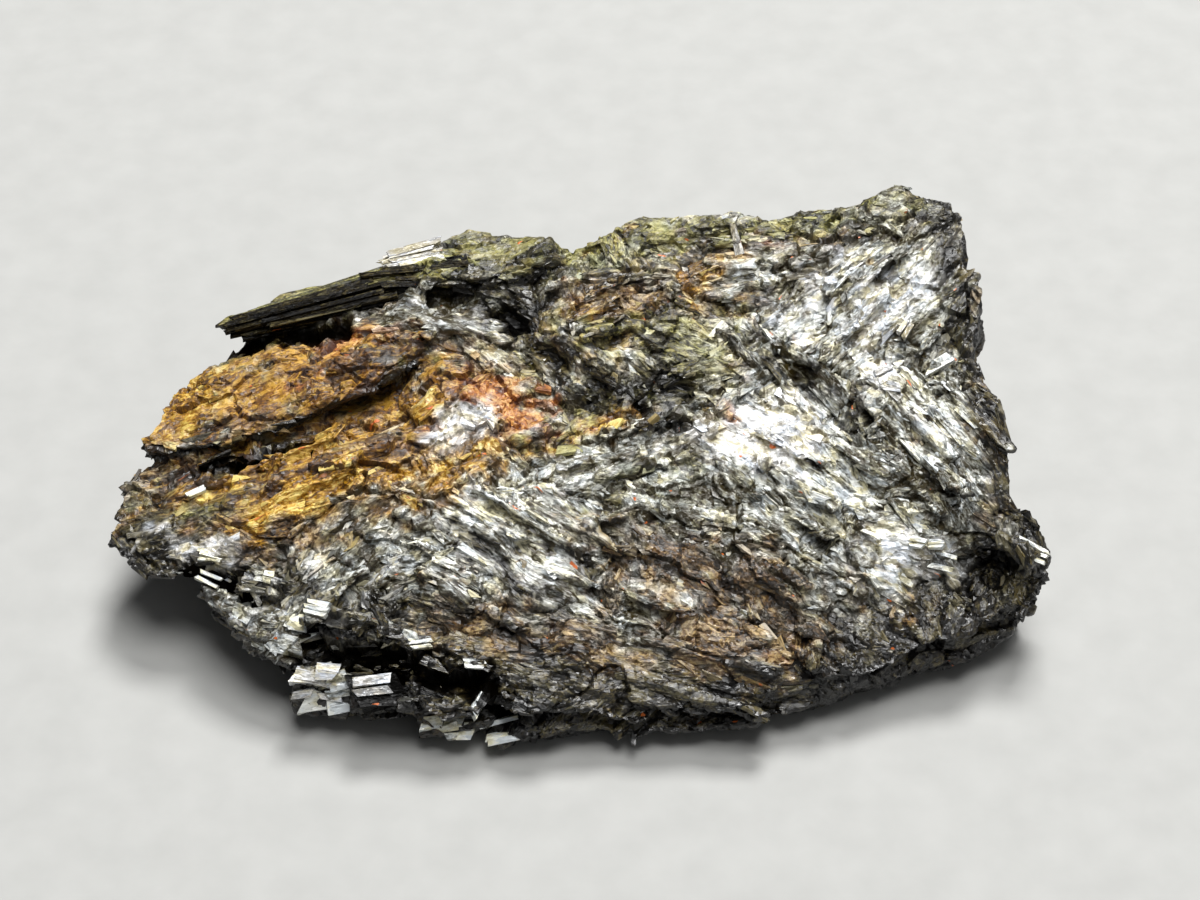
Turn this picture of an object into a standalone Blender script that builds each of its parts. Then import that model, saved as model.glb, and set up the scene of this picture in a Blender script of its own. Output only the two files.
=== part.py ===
"""Raw nuummite: one broken piece of gedrite and anthophyllite schist, about 52 mm long.

The stone is one solid, built the way it broke. Cleavage slabs step down to the left and to the front, a
splinter and a crest stand at the back, blocky crystals jut out at the front foot, and laths of amphibole lie
in sheaves all over it. It rests on one flat cleavage face.

Frame: +X along the stone's length, +Y towards its crest, +Z up, the origin at the middle of the footprint.
Every size below is in millimetres.
"""

import math
import random

import bmesh
import bpy
from mathutils import Matrix, Vector, geometry, noise

MM = 0.001
SEED = 11

# The top face is a worn cleavage surface: tilted down to the front, bowed, twisted and drooping to the left.
CROWN_HEIGHT = 10.9
CROWN_TILT = 0.40
CROWN_BOW = 0.012
CROWN_TWIST = 0.0085
LEFT_DROOP = 0.006

# The main body is cut down this much on the left, from this far out, under the two left slabs.
LEFT_CUT = 3.2
LEFT_SLABS_END = 9.0

# Lumps of broken rock are drawn on top of it: how high they stand, and how far apart.
LUMP_HEIGHT = 0.45
LUMP_PITCH = 3.2

# Striae are the ridges along a sheaf of laths.
STRIA_HEIGHT = 0.28
STRIA_PITCH = 1.9

# Spacing of the points that carry the relief, on the top face, elsewhere and under the stone.
FINE = 1.6
COARSE = 2.0
UNDER = 3.6

# How far the ledges of the broken sides stand in and out, and how long they run.
LEDGE = 1.1
LEDGE_RUN = 6.0

# The resting face is this share of the stone's outline, and the side above it flares out.
FOOT_SHARE = 0.88

# Plan outlines, counter-clockwise from the front left.
CORE_OUTLINE = (
    (-14.4, -10.4), (-11.2, -12.2), (-7.0, -13.1), (-1.0, -13.5), (4.4, -13.0), (8.2, -12.6), (11.4, -11.8),
    (15.2, -10.8), (18.2, -9.0), (21.0, -8.0), (23.5, -7.0), (24.4, -6.2), (25.6, -5.0), (25.0, -3.8),
    (23.6, -2.8), (24.0, -0.9), (23.0, 1.2), (22.4, 5.0), (22.2, 8.6), (21.7, 11.2), (21.4, 13.5),
    (18.4, 13.9), (15.6, 13.8), (12.4, 13.4), (9.0, 13.8), (6.0, 13.9), (3.4, 13.4), (0.6, 12.4),
    (-1.6, 12.0), (-4.6, 13.2), (-8.0, 13.0), (-11.4, 12.0), (-14.6, 10.4), (-17.2, 7.6), (-18.4, 3.2),
    (-17.2, -2.2), (-15.8, -7.0),
)
LEFT_SLAB_OUTLINE = (
    (-26.0, -4.6), (-23.4, -5.3), (-21.4, -6.2), (-19.0, -7.9), (-16.4, -9.4), (-12.6, -10.9), (-8.6, -11.6),
    (-5.0, -9.0), (-5.6, 2.0), (-9.0, 8.0), (-14.0, 9.6), (-19.4, 8.2), (-22.6, 6.0), (-24.6, 3.0),
    (-25.8, 0.4), (-27.0, -3.0),
)
RUST_SLAB_OUTLINE = (
    (-25.0, 2.0), (-22.6, 1.3), (-19.8, 2.0), (-16.4, 2.4), (-13.4, 3.4), (-10.4, 4.6), (-8.6, 6.4),
    (-9.0, 9.4), (-12.4, 10.6), (-16.0, 9.9), (-19.0, 9.0), (-21.2, 7.8), (-23.0, 6.1), (-24.6, 3.6),
)
SILVER_BAND_OUTLINE = (
    (-20.6, -6.2), (-19.2, -8.3), (-17.6, -9.6), (-15.0, -10.5), (-12.0, -11.5), (-8.4, -12.0), (-7.0, -8.0),
    (-10.0, -2.0), (-15.0, 0.6), (-18.6, -1.6), (-20.4, -4.2),
)
CREST_OUTLINE = (
    (-12.7, 10.4), (-11.0, 9.5), (-8.6, 9.2), (-6.2, 9.6), (-3.4, 9.8), (-1.4, 10.8), (-1.8, 12.2),
    (-4.8, 13.4), (-8.2, 13.1), (-11.8, 12.2),
)

# Scarps, where the rock broke across the laths: start, end, drop on their right hand, and how far it fades.
SCARPS = (
    (-3.6, 6.4, 0.6, 3.2, 1.7, 3.6),
    (0.6, 3.2, 4.4, 0.2, 1.3, 3.0),
    (-13.6, 6.4, -8.6, 6.2, 0.9, 3.0),
    (-8.6, 6.2, -3.6, 5.6, 0.9, 3.0),
    (9.0, 5.2, 12.6, 3.4, 1.0, 1.4),
    (12.6, 3.4, 16.2, -0.2, 1.1, 1.4),
    (-9.4, -9.6, -14.6, -7.4, 1.0, 2.4),
    (13.6, -7.6, 18.6, -6.4, 0.9, 2.2),
)

# Pits and hollows: middle, radius and depth. A negative depth is a boss.
PITS = (
    (-3.9, 7.3, 1.5, 1.4),
    (4.9, 2.2, 2.2, 0.8),
    (22.6, -5.6, 2.0, 2.2),
    (8.0, 7.6, 1.5, 0.7),
    (14.2, -5.2, 1.8, 0.6),
    (20.2, 3.2, 1.3, 0.7),
    (-16.9, -6.6, 1.2, 0.8),
    (-2.4, 0.6, 1.4, 0.6),
    (5.6, 12.0, 3.0, -0.5),
    (17.6, 12.2, 2.6, -0.5),
    (20.6, -2.6, 1.8, -0.6),
    (10.2, -9.6, 3.0, -0.6),
    (-9.4, -6.4, 2.2, -0.5),
)

# Sheaves of laths in the top face: middle, heading in degrees, half length, half width, and how many laths.
SHEAVES = {
    "striated": (-4.0, -6.3, -31.0, 6.4, 3.6, 7),
    "silver_back": (-9.2, 7.8, -12.0, 5.0, 1.9, 4),
    "gold_fan": (2.2, 8.3, 21.0, 5.0, 2.4, 6),
    "right_back": (17.2, 7.6, 43.0, 5.4, 4.2, 7),
    "right_blades": (19.2, -0.6, -45.0, 4.6, 3.6, 6),
    "right_middle": (12.0, -3.2, -28.0, 5.6, 4.2, 6),
    "centre": (2.6, -1.8, 18.0, 5.0, 2.8, 5),
    "front_left": (-13.0, -5.6, 33.0, 5.0, 3.0, 6),
    "lower_rust": (-15.4, -1.0, 10.0, 8.6, 3.0, 5),
    "rust_plate": (-3.6, 2.2, 38.0, 3.6, 2.4, 4),
    "front": (3.0, -10.6, -12.0, 8.0, 2.6, 6),
    "front_right": (12.6, -8.8, -26.0, 5.6, 2.4, 5),
    "back_middle": (8.6, 10.6, 6.0, 6.6, 2.4, 5),
}
LATH_OVERLAP = 1.2
LATH_LIFT = 0.05
LATH_ROLL = 22.0
LATH_THICK = (0.65, 0.95)
SIDE_LATH_PITCH = 4.2
SIDE_LATH_SUNK = 0.35

# Loose-looking crystals that jut out: middle, heading, pitch, roll, length, width, thickness.
BLOCKS = {
    "pale_block": (-14.0, -11.4, 2.7, -6.0, 0.0, 78.0, 3.0, 3.6, 1.8),
    "black_block": (-10.9, -12.0, 3.2, 4.0, 2.0, 24.0, 3.0, 2.3, 1.7),
    "low_block": (-7.2, -13.0, 1.7, 6.0, 4.0, 60.0, 3.2, 1.9, 1.3),
    "low_plate": (-3.6, -13.2, 1.3, 14.0, 6.0, 66.0, 2.0, 1.7, 1.2),
    "shelf": (-8.4, -12.2, 3.6, -4.0, -3.0, 12.0, 5.4, 1.8, 0.9),
    "band_block": (-16.6, -9.6, 4.1, -28.0, 0.0, 40.0, 3.2, 2.2, 1.4),
    "band_plate": (-19.2, -7.5, 4.6, -44.0, 0.0, 50.0, 2.6, 1.8, 1.3),
    "edge_plate": (-13.2, -9.7, 6.2, -24.0, 2.0, 14.0, 3.4, 1.8, 0.9),
    "upper_plate": (-17.4, -7.5, 6.6, -12.0, 0.0, 20.0, 2.6, 1.5, 0.9),
    "tip_plate": (24.4, -5.0, 6.9, -38.0, 0.0, -24.0, 2.6, 2.0, 1.2),
    "tip_spur": (23.8, -4.6, 5.2, 20.0, 8.0, 10.0, 2.6, 1.9, 1.4),
}
BLOCK_CHAMFER = 0.86
BLOCK_TAPER = 0.92

# The splinter that stands off the back left: three laths that lie on each other. The last number is the taper.
SPLINTERS = {
    "splinter": (-15.3, 10.0, 11.75, 12.0, 6.0, 6.0, 11.4, 2.3, 1.0, 0.35),
    "splinter_back": (-13.4, 10.9, 12.1, 10.0, 5.0, -10.0, 8.6, 1.6, 1.0, 0.5),
    "splinter_root": (-9.6, 10.6, 12.3, 9.0, 4.0, 4.0, 7.0, 3.0, 1.8, 0.8),
}

# How each slab's broken side runs down: share of the way down, how far out, and scale about its middle.
UPRIGHT_SIDE = (
    (0.0, 0.0, 1.0), (0.1, 0.45, 1.0), (0.2, 0.3, 1.0), (0.26, -0.15, 1.0), (0.4, 0.0, 1.0), (0.48, 0.5, 1.0),
    (0.6, 0.35, 1.0), (0.66, -0.3, 1.0), (0.82, -0.2, 0.99), (0.91, -0.2, 0.95), (1.0, 0.0, FOOT_SHARE),
)
THIN_SIDE = ((0.0, 0.0, 1.0), (0.35, 0.2, 1.0), (0.7, -0.3, 1.0), (1.0, -0.9, 1.0))


def turned(x, y, heading):
    """The distances of a plan point along and across a direction."""
    c, s = math.cos(heading), math.sin(heading)
    return x * c + y * s, y * c - x * s


def sheaf_of(x, y):
    """The sheaf that a plan point belongs to, with its place along and across that sheaf."""
    best = None
    for name, (mx, my, heading, half_length, half_width, _) in SHEAVES.items():
        along, across = turned(x - mx, y - my, math.radians(heading))
        reach = math.hypot(along / half_length, across / half_width)
        if best is None or reach < best[0]:
            best = (reach, name, along, across)
    return best


def stria(x, y):
    """Ridges that run along the sheaf at this point."""
    _, name, along, across = sheaf_of(x, y)
    wander = noise.noise(Vector((along * 0.12, across * 0.5, len(name))))
    wave = math.sin(2 * math.pi * (across / STRIA_PITCH + wander))
    broken = noise.noise(Vector((along * 0.35, across * 1.1, 7.0)))
    return STRIA_HEIGHT * wave + 0.5 * STRIA_HEIGHT * broken


def lumps(x, y, z):
    """Rough lumps of broken rock, a signed height."""
    place = Vector((x, y, z))
    large = noise.noise(place / LUMP_PITCH)
    small = noise.noise(place / (0.42 * LUMP_PITCH) + Vector((9.0, 0.0, 0.0)))
    return LUMP_HEIGHT * (large + 0.7 * small)


def scarps(x, y):
    """How far the top face is broken down here, beside the scarps."""
    deepest = 0.0
    for x0, y0, x1, y1, drop, fade in SCARPS:
        run = math.hypot(x1 - x0, y1 - y0)
        along, across = turned(x - x0, y - y0, math.atan2(y1 - y0, x1 - x0))
        if across > 0:
            continue
        past = max(0.0, -along, along - run)
        deepest = max(deepest, drop * math.exp(across / fade) * math.exp(-past))
    return deepest


def pits(x, y):
    """How deep the pits are here, less the bosses."""
    return sum(
        depth * math.exp(-((x - mx) ** 2 + (y - my) ** 2) / radius**2) for mx, my, radius, depth in PITS
    )


def crown(x, y):
    """Height of the top cleavage face before it was broken up."""
    droop = LEFT_DROOP * min(x, 0.0) ** 2
    return CROWN_HEIGHT + CROWN_TILT * y - CROWN_BOW * y * y + CROWN_TWIST * x * y - droop


def ramp(value, start, run):
    """0 up to start, rising to 1 over the run after it."""
    return max(0.0, min(1.0, (value - start) / run))


def core_top(x, y):
    """The top of the main body, which is cut down on the left to let the two left slabs show."""
    cut = LEFT_CUT * ramp(-x, LEFT_SLABS_END, 5.0)
    return crown(x, y) - scarps(x, y) - pits(x, y) + stria(x, y) + lumps(x, y, 0.0) - cut


def left_slab_top(x, y):
    """The lower rusty slab, which runs out to the left tip."""
    buried = 1.5 * ramp(x, -LEFT_SLABS_END, 3.0)
    step = 1.1 * ramp(y, 0.5, 2.0)
    return crown(x, y) - 0.3 - step - scarps(x, y) - pits(x, y) + stria(x, y) + lumps(x, y, 3.0) - buried


def left_slab_bottom(x, y):
    """Its underside rises towards the left tip, where it overhangs."""
    return 4.9 + 0.05 * (y + 4.0) + 0.5 * lumps(x, y, 20.0)


def rust_slab_top(x, y):
    """The upper rusty slab, above the undercut."""
    return crown(x, y) + 0.35 - pits(x, y) + stria(x, y) + lumps(x, y, 5.0)


def rust_slab_bottom(x, y):
    """Its underside is open along the front, where it overhangs the lower slab, and sinks in further back."""
    opening = 1.5 * max(0.0, 1.0 - max(0.0, y - 2.0 - 0.12 * (x + 22.0)) / 2.6)
    return crown(x, y) - 2.5 + opening


def band_top(x, y):
    return 5.3 + 0.1 * (y + 8.0) + 0.5 * lumps(x, y, 8.0)


def band_bottom(x, y):
    return 2.5 + 0.06 * (-12.0 - x) + 0.4 * lumps(x, y, 12.0)


def crest_top(x, y):
    return crown(x, y) + 0.9 + stria(x, y) + 0.8 * lumps(x, y, 15.0)


def crest_bottom(x, y):
    return crown(x, y) - 2.0


def flat_foot(x, y):
    return 0.0


def spaced_ring(outline, spacing, chance):
    """Points along an outline, about this far apart, nudged as a broken edge is."""
    ring = []
    for (x0, y0), (x1, y1) in zip(outline, outline[1:] + outline[:1]):
        count = max(1, round(math.hypot(x1 - x0, y1 - y0) / spacing))
        for i in range(count):
            share = i / count
            nudge = 0.22 * spacing
            x = x0 + share * (x1 - x0) + chance.uniform(-nudge, nudge)
            y = y0 + share * (y1 - y0) + chance.uniform(-nudge, nudge)
            ring.append((x, y))
    return ring


def outward(ring, reach=2):
    """A plan direction out of the ring at each of its points, averaged over its neighbours."""
    count = len(ring)
    directions = []
    for i in range(count):
        before, after = Vector(ring[i - reach]), Vector(ring[(i + reach) % count])
        run = (after - before).normalized()
        directions.append(Vector((run.y, -run.x)))
    return directions


def inside(ring, x, y):
    """True if a plan point is inside the ring."""
    odd = False
    for (x0, y0), (x1, y1) in zip(ring, ring[1:] + ring[:1]):
        if (y0 > y) != (y1 > y) and x < (x1 - x0) * (y - y0) / (y1 - y0) + x0:
            odd = not odd
    return odd


def clear_of(ring, x, y, gap):
    return all(math.hypot(x - rx, y - ry) > gap for rx, ry in ring)


def capped(ring, spacing, chance):
    """Plan points filling a ring, its own points first, and the triangles between them."""
    points = [Vector(p) for p in ring]
    xs, ys = [p[0] for p in ring], [p[1] for p in ring]
    rows = int((max(ys) - min(ys)) / (0.866 * spacing)) + 2
    columns = int((max(xs) - min(xs)) / spacing) + 2
    for row in range(rows):
        for column in range(columns):
            x = min(xs) + (column + 0.5 * (row % 2)) * spacing + chance.uniform(-0.24, 0.24) * spacing
            y = min(ys) + row * 0.866 * spacing + chance.uniform(-0.24, 0.24) * spacing
            if inside(ring, x, y) and clear_of(ring, x, y, 0.55 * spacing):
                points.append(Vector((x, y)))
    edges = [(i, (i + 1) % len(ring)) for i in range(len(ring))]
    found, _, triangles, *_ = geometry.delaunay_2d_cdt(points, edges, [], 1, 1e-5)
    return found, triangles


def object_of(name, mesh, material):
    obj = bpy.data.objects.new(name, mesh)
    bpy.context.scene.collection.objects.link(obj)
    mesh.materials.append(material)
    return obj


def slab(name, outline, top, bottom, profile, spacing, under_spacing, material, seed):
    """A cleavage slab as a closed solid.

    profile lists the rows down its side, as (share of the way down, how far out, scale about the middle).
    Between the rows the broken layers stand in and out a little.
    """
    chance = random.Random(seed)
    ring = spaced_ring(list(outline), COARSE, chance)
    out = outward(ring)
    count = len(ring)
    middle = Vector((sum(x for x, y in ring) / count, sum(y for x, y in ring) / count))
    bm = bmesh.new()
    rows = []
    for share, flare, scale in profile:
        row = []
        for (x, y), direction in zip(ring, out):
            ledge = 0.0
            if 0.0 < share < 1.0:
                ledge = LEDGE * noise.noise(Vector((x / LEDGE_RUN, y / LEDGE_RUN, share * 17.0 + seed)))
            place = middle + scale * (Vector((x, y)) - middle) + (flare + ledge) * direction
            z = (1.0 - share) * top(x, y) + share * bottom(x, y)
            row.append(bm.verts.new((place.x, place.y, z)))
        rows.append(row)
    for upper, lower in zip(rows, rows[1:]):
        for i in range(count):
            j = (i + 1) % count
            bm.faces.new((upper[i], lower[i], lower[j], upper[j]))
    for row, height, gap, up in ((rows[0], top, spacing, True), (rows[-1], bottom, under_spacing, False)):
        flat, triangles = capped([(v.co.x, v.co.y) for v in row], gap, chance)
        verts = row + [bm.verts.new((p.x, p.y, height(p.x, p.y))) for p in flat[count:]]
        for a, b, c in triangles:
            corners = (a, b, c) if up else (c, b, a)
            bm.faces.new([verts[k] for k in corners])
    bmesh.ops.triangulate(bm, faces=bm.faces)
    bmesh.ops.recalc_face_normals(bm, faces=bm.faces)
    mesh = bpy.data.meshes.new(name)
    bm.to_mesh(mesh)
    bm.free()
    return object_of(name, mesh, material)


def lath(place, heading, pitch, roll, length, width, thick, chamfer=0.5, taper=0.7):
    """Points and faces of one amphibole lath: a six-sided bar whose broken ends taper."""
    section = (
        (-0.5 * width, 0.0),
        (-0.5 * chamfer * width, -0.5 * thick),
        (0.5 * chamfer * width, -0.5 * thick),
        (0.5 * width, 0.0),
        (0.5 * chamfer * width, 0.5 * thick),
        (-0.5 * chamfer * width, 0.5 * thick),
    )
    turn = (
        Matrix.Translation(place)
        @ Matrix.Rotation(math.radians(heading), 4, "Z")
        @ Matrix.Rotation(math.radians(-pitch), 4, "Y")
        @ Matrix.Rotation(math.radians(roll), 4, "X")
    )
    points = []
    for end, narrow in ((-0.5, taper), (0.5, taper)):
        for side, height in section:
            slant = 0.12 * length * side / width
            points.append(turn @ Vector((end * length + slant, side * narrow, height * narrow)))
    sides = [(i, (i + 1) % 6, 6 + (i + 1) % 6, 6 + i) for i in range(6)]
    return points, [*sides, (5, 4, 3, 2, 1, 0), (6, 7, 8, 9, 10, 11)]


def lath_object(name, material, *shape, **form):
    points, faces = lath(*shape, **form)
    mesh = bpy.data.meshes.new(name)
    mesh.from_pydata(points, [], faces)
    bm = bmesh.new()
    bm.from_mesh(mesh)
    bmesh.ops.recalc_face_normals(bm, faces=bm.faces)
    bm.to_mesh(mesh)
    bm.free()
    return object_of(name, mesh, material)


def top_height(x, y):
    """The highest of the slabs at a plan point."""
    heights = [core_top(x, y)]
    for outline, top in (
        (LEFT_SLAB_OUTLINE, left_slab_top),
        (RUST_SLAB_OUTLINE, rust_slab_top),
        (CREST_OUTLINE, crest_top),
    ):
        if inside(list(outline), x, y):
            heights.append(top(x, y))
    return max(heights)


def sheaf_laths(material):
    """The larger laths of every sheaf, side by side with staggered ends, half sunk in the top face."""
    chance = random.Random(SEED)
    made = []
    for name, (mx, my, heading, half_length, half_width, count) in SHEAVES.items():
        turn = math.radians(heading)
        for i in range(count):
            share = 2.0 * (i + 0.5) / count - 1.0
            across = half_width * share
            along = chance.uniform(-0.55, 0.55) * half_length * math.sqrt(1.0 - share * share)
            x = mx + along * math.cos(turn) - across * math.sin(turn)
            y = my + along * math.sin(turn) + across * math.cos(turn)
            if not inside(list(CORE_OUTLINE), x, y) and not inside(list(LEFT_SLAB_OUTLINE), x, y):
                continue
            length = chance.uniform(0.75, 1.2) * half_length
            width = LATH_OVERLAP * 2.0 * half_width / count
            run = 0.3 * length
            ahead = top_height(x + run * math.cos(turn), y + run * math.sin(turn))
            behind = top_height(x - run * math.cos(turn), y - run * math.sin(turn))
            pitch = math.degrees(math.atan2(ahead - behind, 2 * run))
            place = Vector((x, y, 0.5 * (ahead + behind) + LATH_LIFT))
            made.append(lath_object(
                f"{name}_lath_{i}", material, place, heading + chance.uniform(-5, 5),
                pitch + chance.uniform(-3, 3), chance.uniform(-LATH_ROLL, LATH_ROLL), length, width,
                chance.uniform(*LATH_THICK),
            ))
    return made


def side_laths(material):
    """Laths seen edge on in the broken sides, lying along the foliation."""
    chance = random.Random(SEED + 1)
    ring = spaced_ring(list(CORE_OUTLINE), SIDE_LATH_PITCH, chance)
    made = []
    for i, ((x, y), direction) in enumerate(zip(ring, outward(ring, 1))):
        height = chance.uniform(0.28, 0.86) * crown(x, y)
        heading = math.degrees(math.atan2(direction.x, -direction.y)) + chance.uniform(-16, 16)
        place = Vector((x - SIDE_LATH_SUNK * direction.x, y - SIDE_LATH_SUNK * direction.y, height))
        made.append(lath_object(
            f"side_lath_{i}", material, place, heading, chance.uniform(-18, 18), chance.uniform(-30, 30),
            chance.uniform(2.6, 4.6), chance.uniform(0.9, 1.5), chance.uniform(0.8, 1.3),
        ))
    return made


def blocks(material):
    """Blocky crystals with square ends, most of them at the front left, one under the other."""
    form = {"chamfer": BLOCK_CHAMFER, "taper": BLOCK_TAPER}
    return [
        lath_object(name, material, Vector(numbers[:3]), *numbers[3:], **form)
        for name, numbers in BLOCKS.items()
    ]


def splinters(material):
    return [
        lath_object(name, material, Vector(numbers[:3]), *numbers[3:9], taper=numbers[9])
        for name, numbers in SPLINTERS.items()
    ]


def drop_pockets(bm):
    """Removes the sealed pockets that the slabs leave between them, keeping the one outer surface."""
    left = set(bm.verts)
    islands = []
    while left:
        island, edge = set(), [left.pop()]
        while edge:
            vert = edge.pop()
            island.add(vert)
            near = {e.other_vert(vert) for e in vert.link_edges} & left
            left -= near
            edge.extend(near)
        islands.append(island)
    outer = max(islands, key=len)
    bmesh.ops.delete(bm, geom=[v for v in bm.verts if v not in outer], context="VERTS")


def fused(core, pieces, name):
    """One solid from the core and all that grows on it, standing on its foot, centred over the origin."""
    grown = bpy.data.collections.new("grown_on_the_core")
    bpy.context.scene.collection.children.link(grown)
    for piece in pieces:
        bpy.context.scene.collection.objects.unlink(piece)
        grown.objects.link(piece)
        piece.hide_render = True
        piece.display_type = "WIRE"
    join = core.modifiers.new("grown_together", "BOOLEAN")
    join.operation = "UNION"
    join.operand_type = "COLLECTION"
    join.collection = grown
    join.solver = "EXACT"
    bpy.context.view_layer.update()
    whole = core.evaluated_get(bpy.context.evaluated_depsgraph_get())
    mesh = bpy.data.meshes.new_from_object(whole)
    core.modifiers.clear()
    for piece in pieces:
        bpy.data.objects.remove(piece)
    bpy.data.collections.remove(grown)

    bm = bmesh.new()
    bm.from_mesh(mesh)
    bmesh.ops.triangulate(bm, faces=bm.faces)
    drop_pockets(bm)
    xs = [v.co.x for v in bm.verts]
    ys = [v.co.y for v in bm.verts]
    zs = [v.co.z for v in bm.verts]
    middle = Vector((0.5 * (min(xs) + max(xs)), 0.5 * (min(ys) + max(ys)), min(zs)))
    bmesh.ops.translate(bm, verts=bm.verts, vec=-middle)
    bmesh.ops.scale(bm, verts=bm.verts, vec=(MM, MM, MM))
    bm.to_mesh(mesh)
    bm.free()
    core.data = mesh
    core.name = name
    mesh.name = name
    return core


def stone_material():
    material = bpy.data.materials.new("amphibole_schist")
    material.use_nodes = True
    shader = material.node_tree.nodes["Principled BSDF"]
    shader.inputs["Base Color"].default_value = (0.075, 0.07, 0.064, 1.0)
    shader.inputs["Roughness"].default_value = 0.42
    shader.inputs["Metallic"].default_value = 0.35
    return material


def clear_scene():
    for obj in list(bpy.data.objects):
        bpy.data.objects.remove(obj)


def build():
    clear_scene()
    rock = stone_material()
    core = slab("core", CORE_OUTLINE, core_top, flat_foot, UPRIGHT_SIDE, FINE, UNDER, rock, 1)
    pieces = [
        slab("left_slab", LEFT_SLAB_OUTLINE, left_slab_top, left_slab_bottom, THIN_SIDE, FINE, UNDER, rock, 2),
        slab("rust_slab", RUST_SLAB_OUTLINE, rust_slab_top, rust_slab_bottom, THIN_SIDE, FINE, COARSE, rock, 3),
        slab("silver_band", SILVER_BAND_OUTLINE, band_top, band_bottom, THIN_SIDE, COARSE, UNDER, rock, 4),
        slab("crest", CREST_OUTLINE, crest_top, crest_bottom, THIN_SIDE, FINE, UNDER, rock, 5),
        *splinters(rock),
        *blocks(rock),
        *sheaf_laths(rock),
        *side_laths(rock),
    ]
    fused(core, pieces, "nuummite")


build()
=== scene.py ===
"""Raw nuummite: the looks of one broken piece of gedrite and anthophyllite schist, 53 mm long.

The stone is one body, root. Shapes are worked out in millimetres, and each mesh is turned to metres when
it is finished. Places in the tables are measured from the point that the part was drawn from, x to the
right, y to the back and z up from the resting face.
"""

import math

import bpy
import numpy as np
from mathutils import Matrix, Vector
from mathutils.bvhtree import BVHTree


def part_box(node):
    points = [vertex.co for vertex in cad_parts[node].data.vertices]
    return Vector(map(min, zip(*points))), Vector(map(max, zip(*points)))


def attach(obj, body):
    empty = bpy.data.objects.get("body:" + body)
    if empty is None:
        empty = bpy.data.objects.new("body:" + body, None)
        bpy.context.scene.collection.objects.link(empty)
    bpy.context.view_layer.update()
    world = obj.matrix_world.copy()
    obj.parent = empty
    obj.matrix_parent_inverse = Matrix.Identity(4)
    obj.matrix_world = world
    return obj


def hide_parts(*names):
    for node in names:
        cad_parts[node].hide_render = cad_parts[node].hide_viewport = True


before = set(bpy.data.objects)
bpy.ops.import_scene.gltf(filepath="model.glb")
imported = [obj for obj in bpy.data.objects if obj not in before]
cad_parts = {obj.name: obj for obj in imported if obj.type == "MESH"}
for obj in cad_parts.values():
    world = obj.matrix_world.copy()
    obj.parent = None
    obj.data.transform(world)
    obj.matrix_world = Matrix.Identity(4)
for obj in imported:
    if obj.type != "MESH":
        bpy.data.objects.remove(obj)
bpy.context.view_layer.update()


# ---------------------------------------------------------------- the broken stone
# One piece of coarse amphibole schist, broken by hand. Bundles of gedrite and anthophyllite blades grew
# through each other, each in its own direction. The break follows their cleavage, so the face is a mosaic
# of small flat facets, with steps between them and black gaps between the bundles.
MM = 0.001
# The point that the part was drawn from, measured from the middle of its resting face.
DRAWN_FROM = np.array((0.1125, -0.4504, 0.0))
# The size of the voxels that the stone's mesh is built of, and how many of its triangles are kept.
VOXEL = 0.165
TRIANGLES = 190_000
chance = np.random.default_rng(41)

# Bundles in the top face: x, y, heading in degrees, half length, half width, and how fibrous the bundle is,
# from 0, short grains, to 1, long parallel fibres.
BUNDLES = {
    "striated": (-4.0, -6.3, -31, 6.4, 3.6, 1.0),
    "silver_back": (-9.2, 7.8, -12, 5.4, 1.7, 1.0),
    "gold_fan": (2.2, 8.3, 21, 5.0, 2.2, 0.8),
    "right_back": (17.2, 7.6, 43, 5.6, 4.4, 0.45),
    "right_blades": (19.6, -0.6, -46, 4.8, 3.2, 0.8),
    "right_blades_low": (17.0, -1.6, -41, 4.0, 1.8, 0.7),
    "right_middle": (12.0, -3.6, -28, 5.6, 3.6, 0.6),
    "right_low": (17.8, -5.6, -14, 4.4, 1.8, 0.5),
    "centre": (2.6, -1.2, 22, 4.6, 1.8, 0.4),
    "centre_granular": (6.8, -3.4, -18, 4.0, 2.4, 0.1),
    "front_left": (-12.6, -6.2, 34, 4.6, 2.8, 0.35),
    "lower_rust": (-15.4, -1.0, 10, 9.0, 2.6, 0.6),
    "lower_rust_tip": (-22.0, -2.4, 14, 4.0, 2.0, 0.6),
    "upper_rust": (-18.0, 4.6, 9, 7.0, 3.0, 0.35),
    "rust_strip": (-11.0, 4.4, 12, 5.0, 1.6, 0.5),
    "rust_plate": (-3.8, 2.3, -24, 2.4, 1.8, 0.1),
    "white_gold": (-7.3, 0.5, 40, 2.6, 1.4, 0.2),
    "golden": (-7.2, -2.1, 29, 3.6, 1.4, 0.4),
    "orange_streak": (1.3, 1.2, 16, 3.4, 1.2, 0.3),
    "dark_ledge": (0.2, 4.0, -38, 4.6, 1.5, 0.8),
    "front": (1.0, -11.0, -10, 8.0, 2.0, 0.6),
    "front_middle": (5.6, -8.2, -22, 5.0, 2.4, 0.3),
    "front_right": (12.6, -8.8, -27, 5.6, 2.4, 0.15),
    "back_middle": (8.6, 10.2, 8, 6.6, 1.8, 0.4),
    "back_edge": (8.0, 12.8, 3, 9.0, 1.2, 0.2),
    "back_right": (16.4, 12.4, 4, 5.0, 1.6, 0.15),
    "crest": (-6.4, 11.8, 12, 6.0, 1.8, 0.3),
    "splinter": (-15.4, 10.0, 12, 6.4, 1.6, 1.0),
    "arc": (12.4, 3.2, -37, 5.0, 1.2, 0.8),
    "right_inner": (12.6, 5.8, 30, 3.6, 1.8, 0.4),
    "left_front_plates": (-18.8, -6.4, -18, 3.6, 1.6, 0.2),
}
# A named bundle rises as the face does, up to a slope, between two points this share of its half length
# from its middle.
RISE_SPAN = 0.4
STEEPEST_RISE = 0.7
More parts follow.
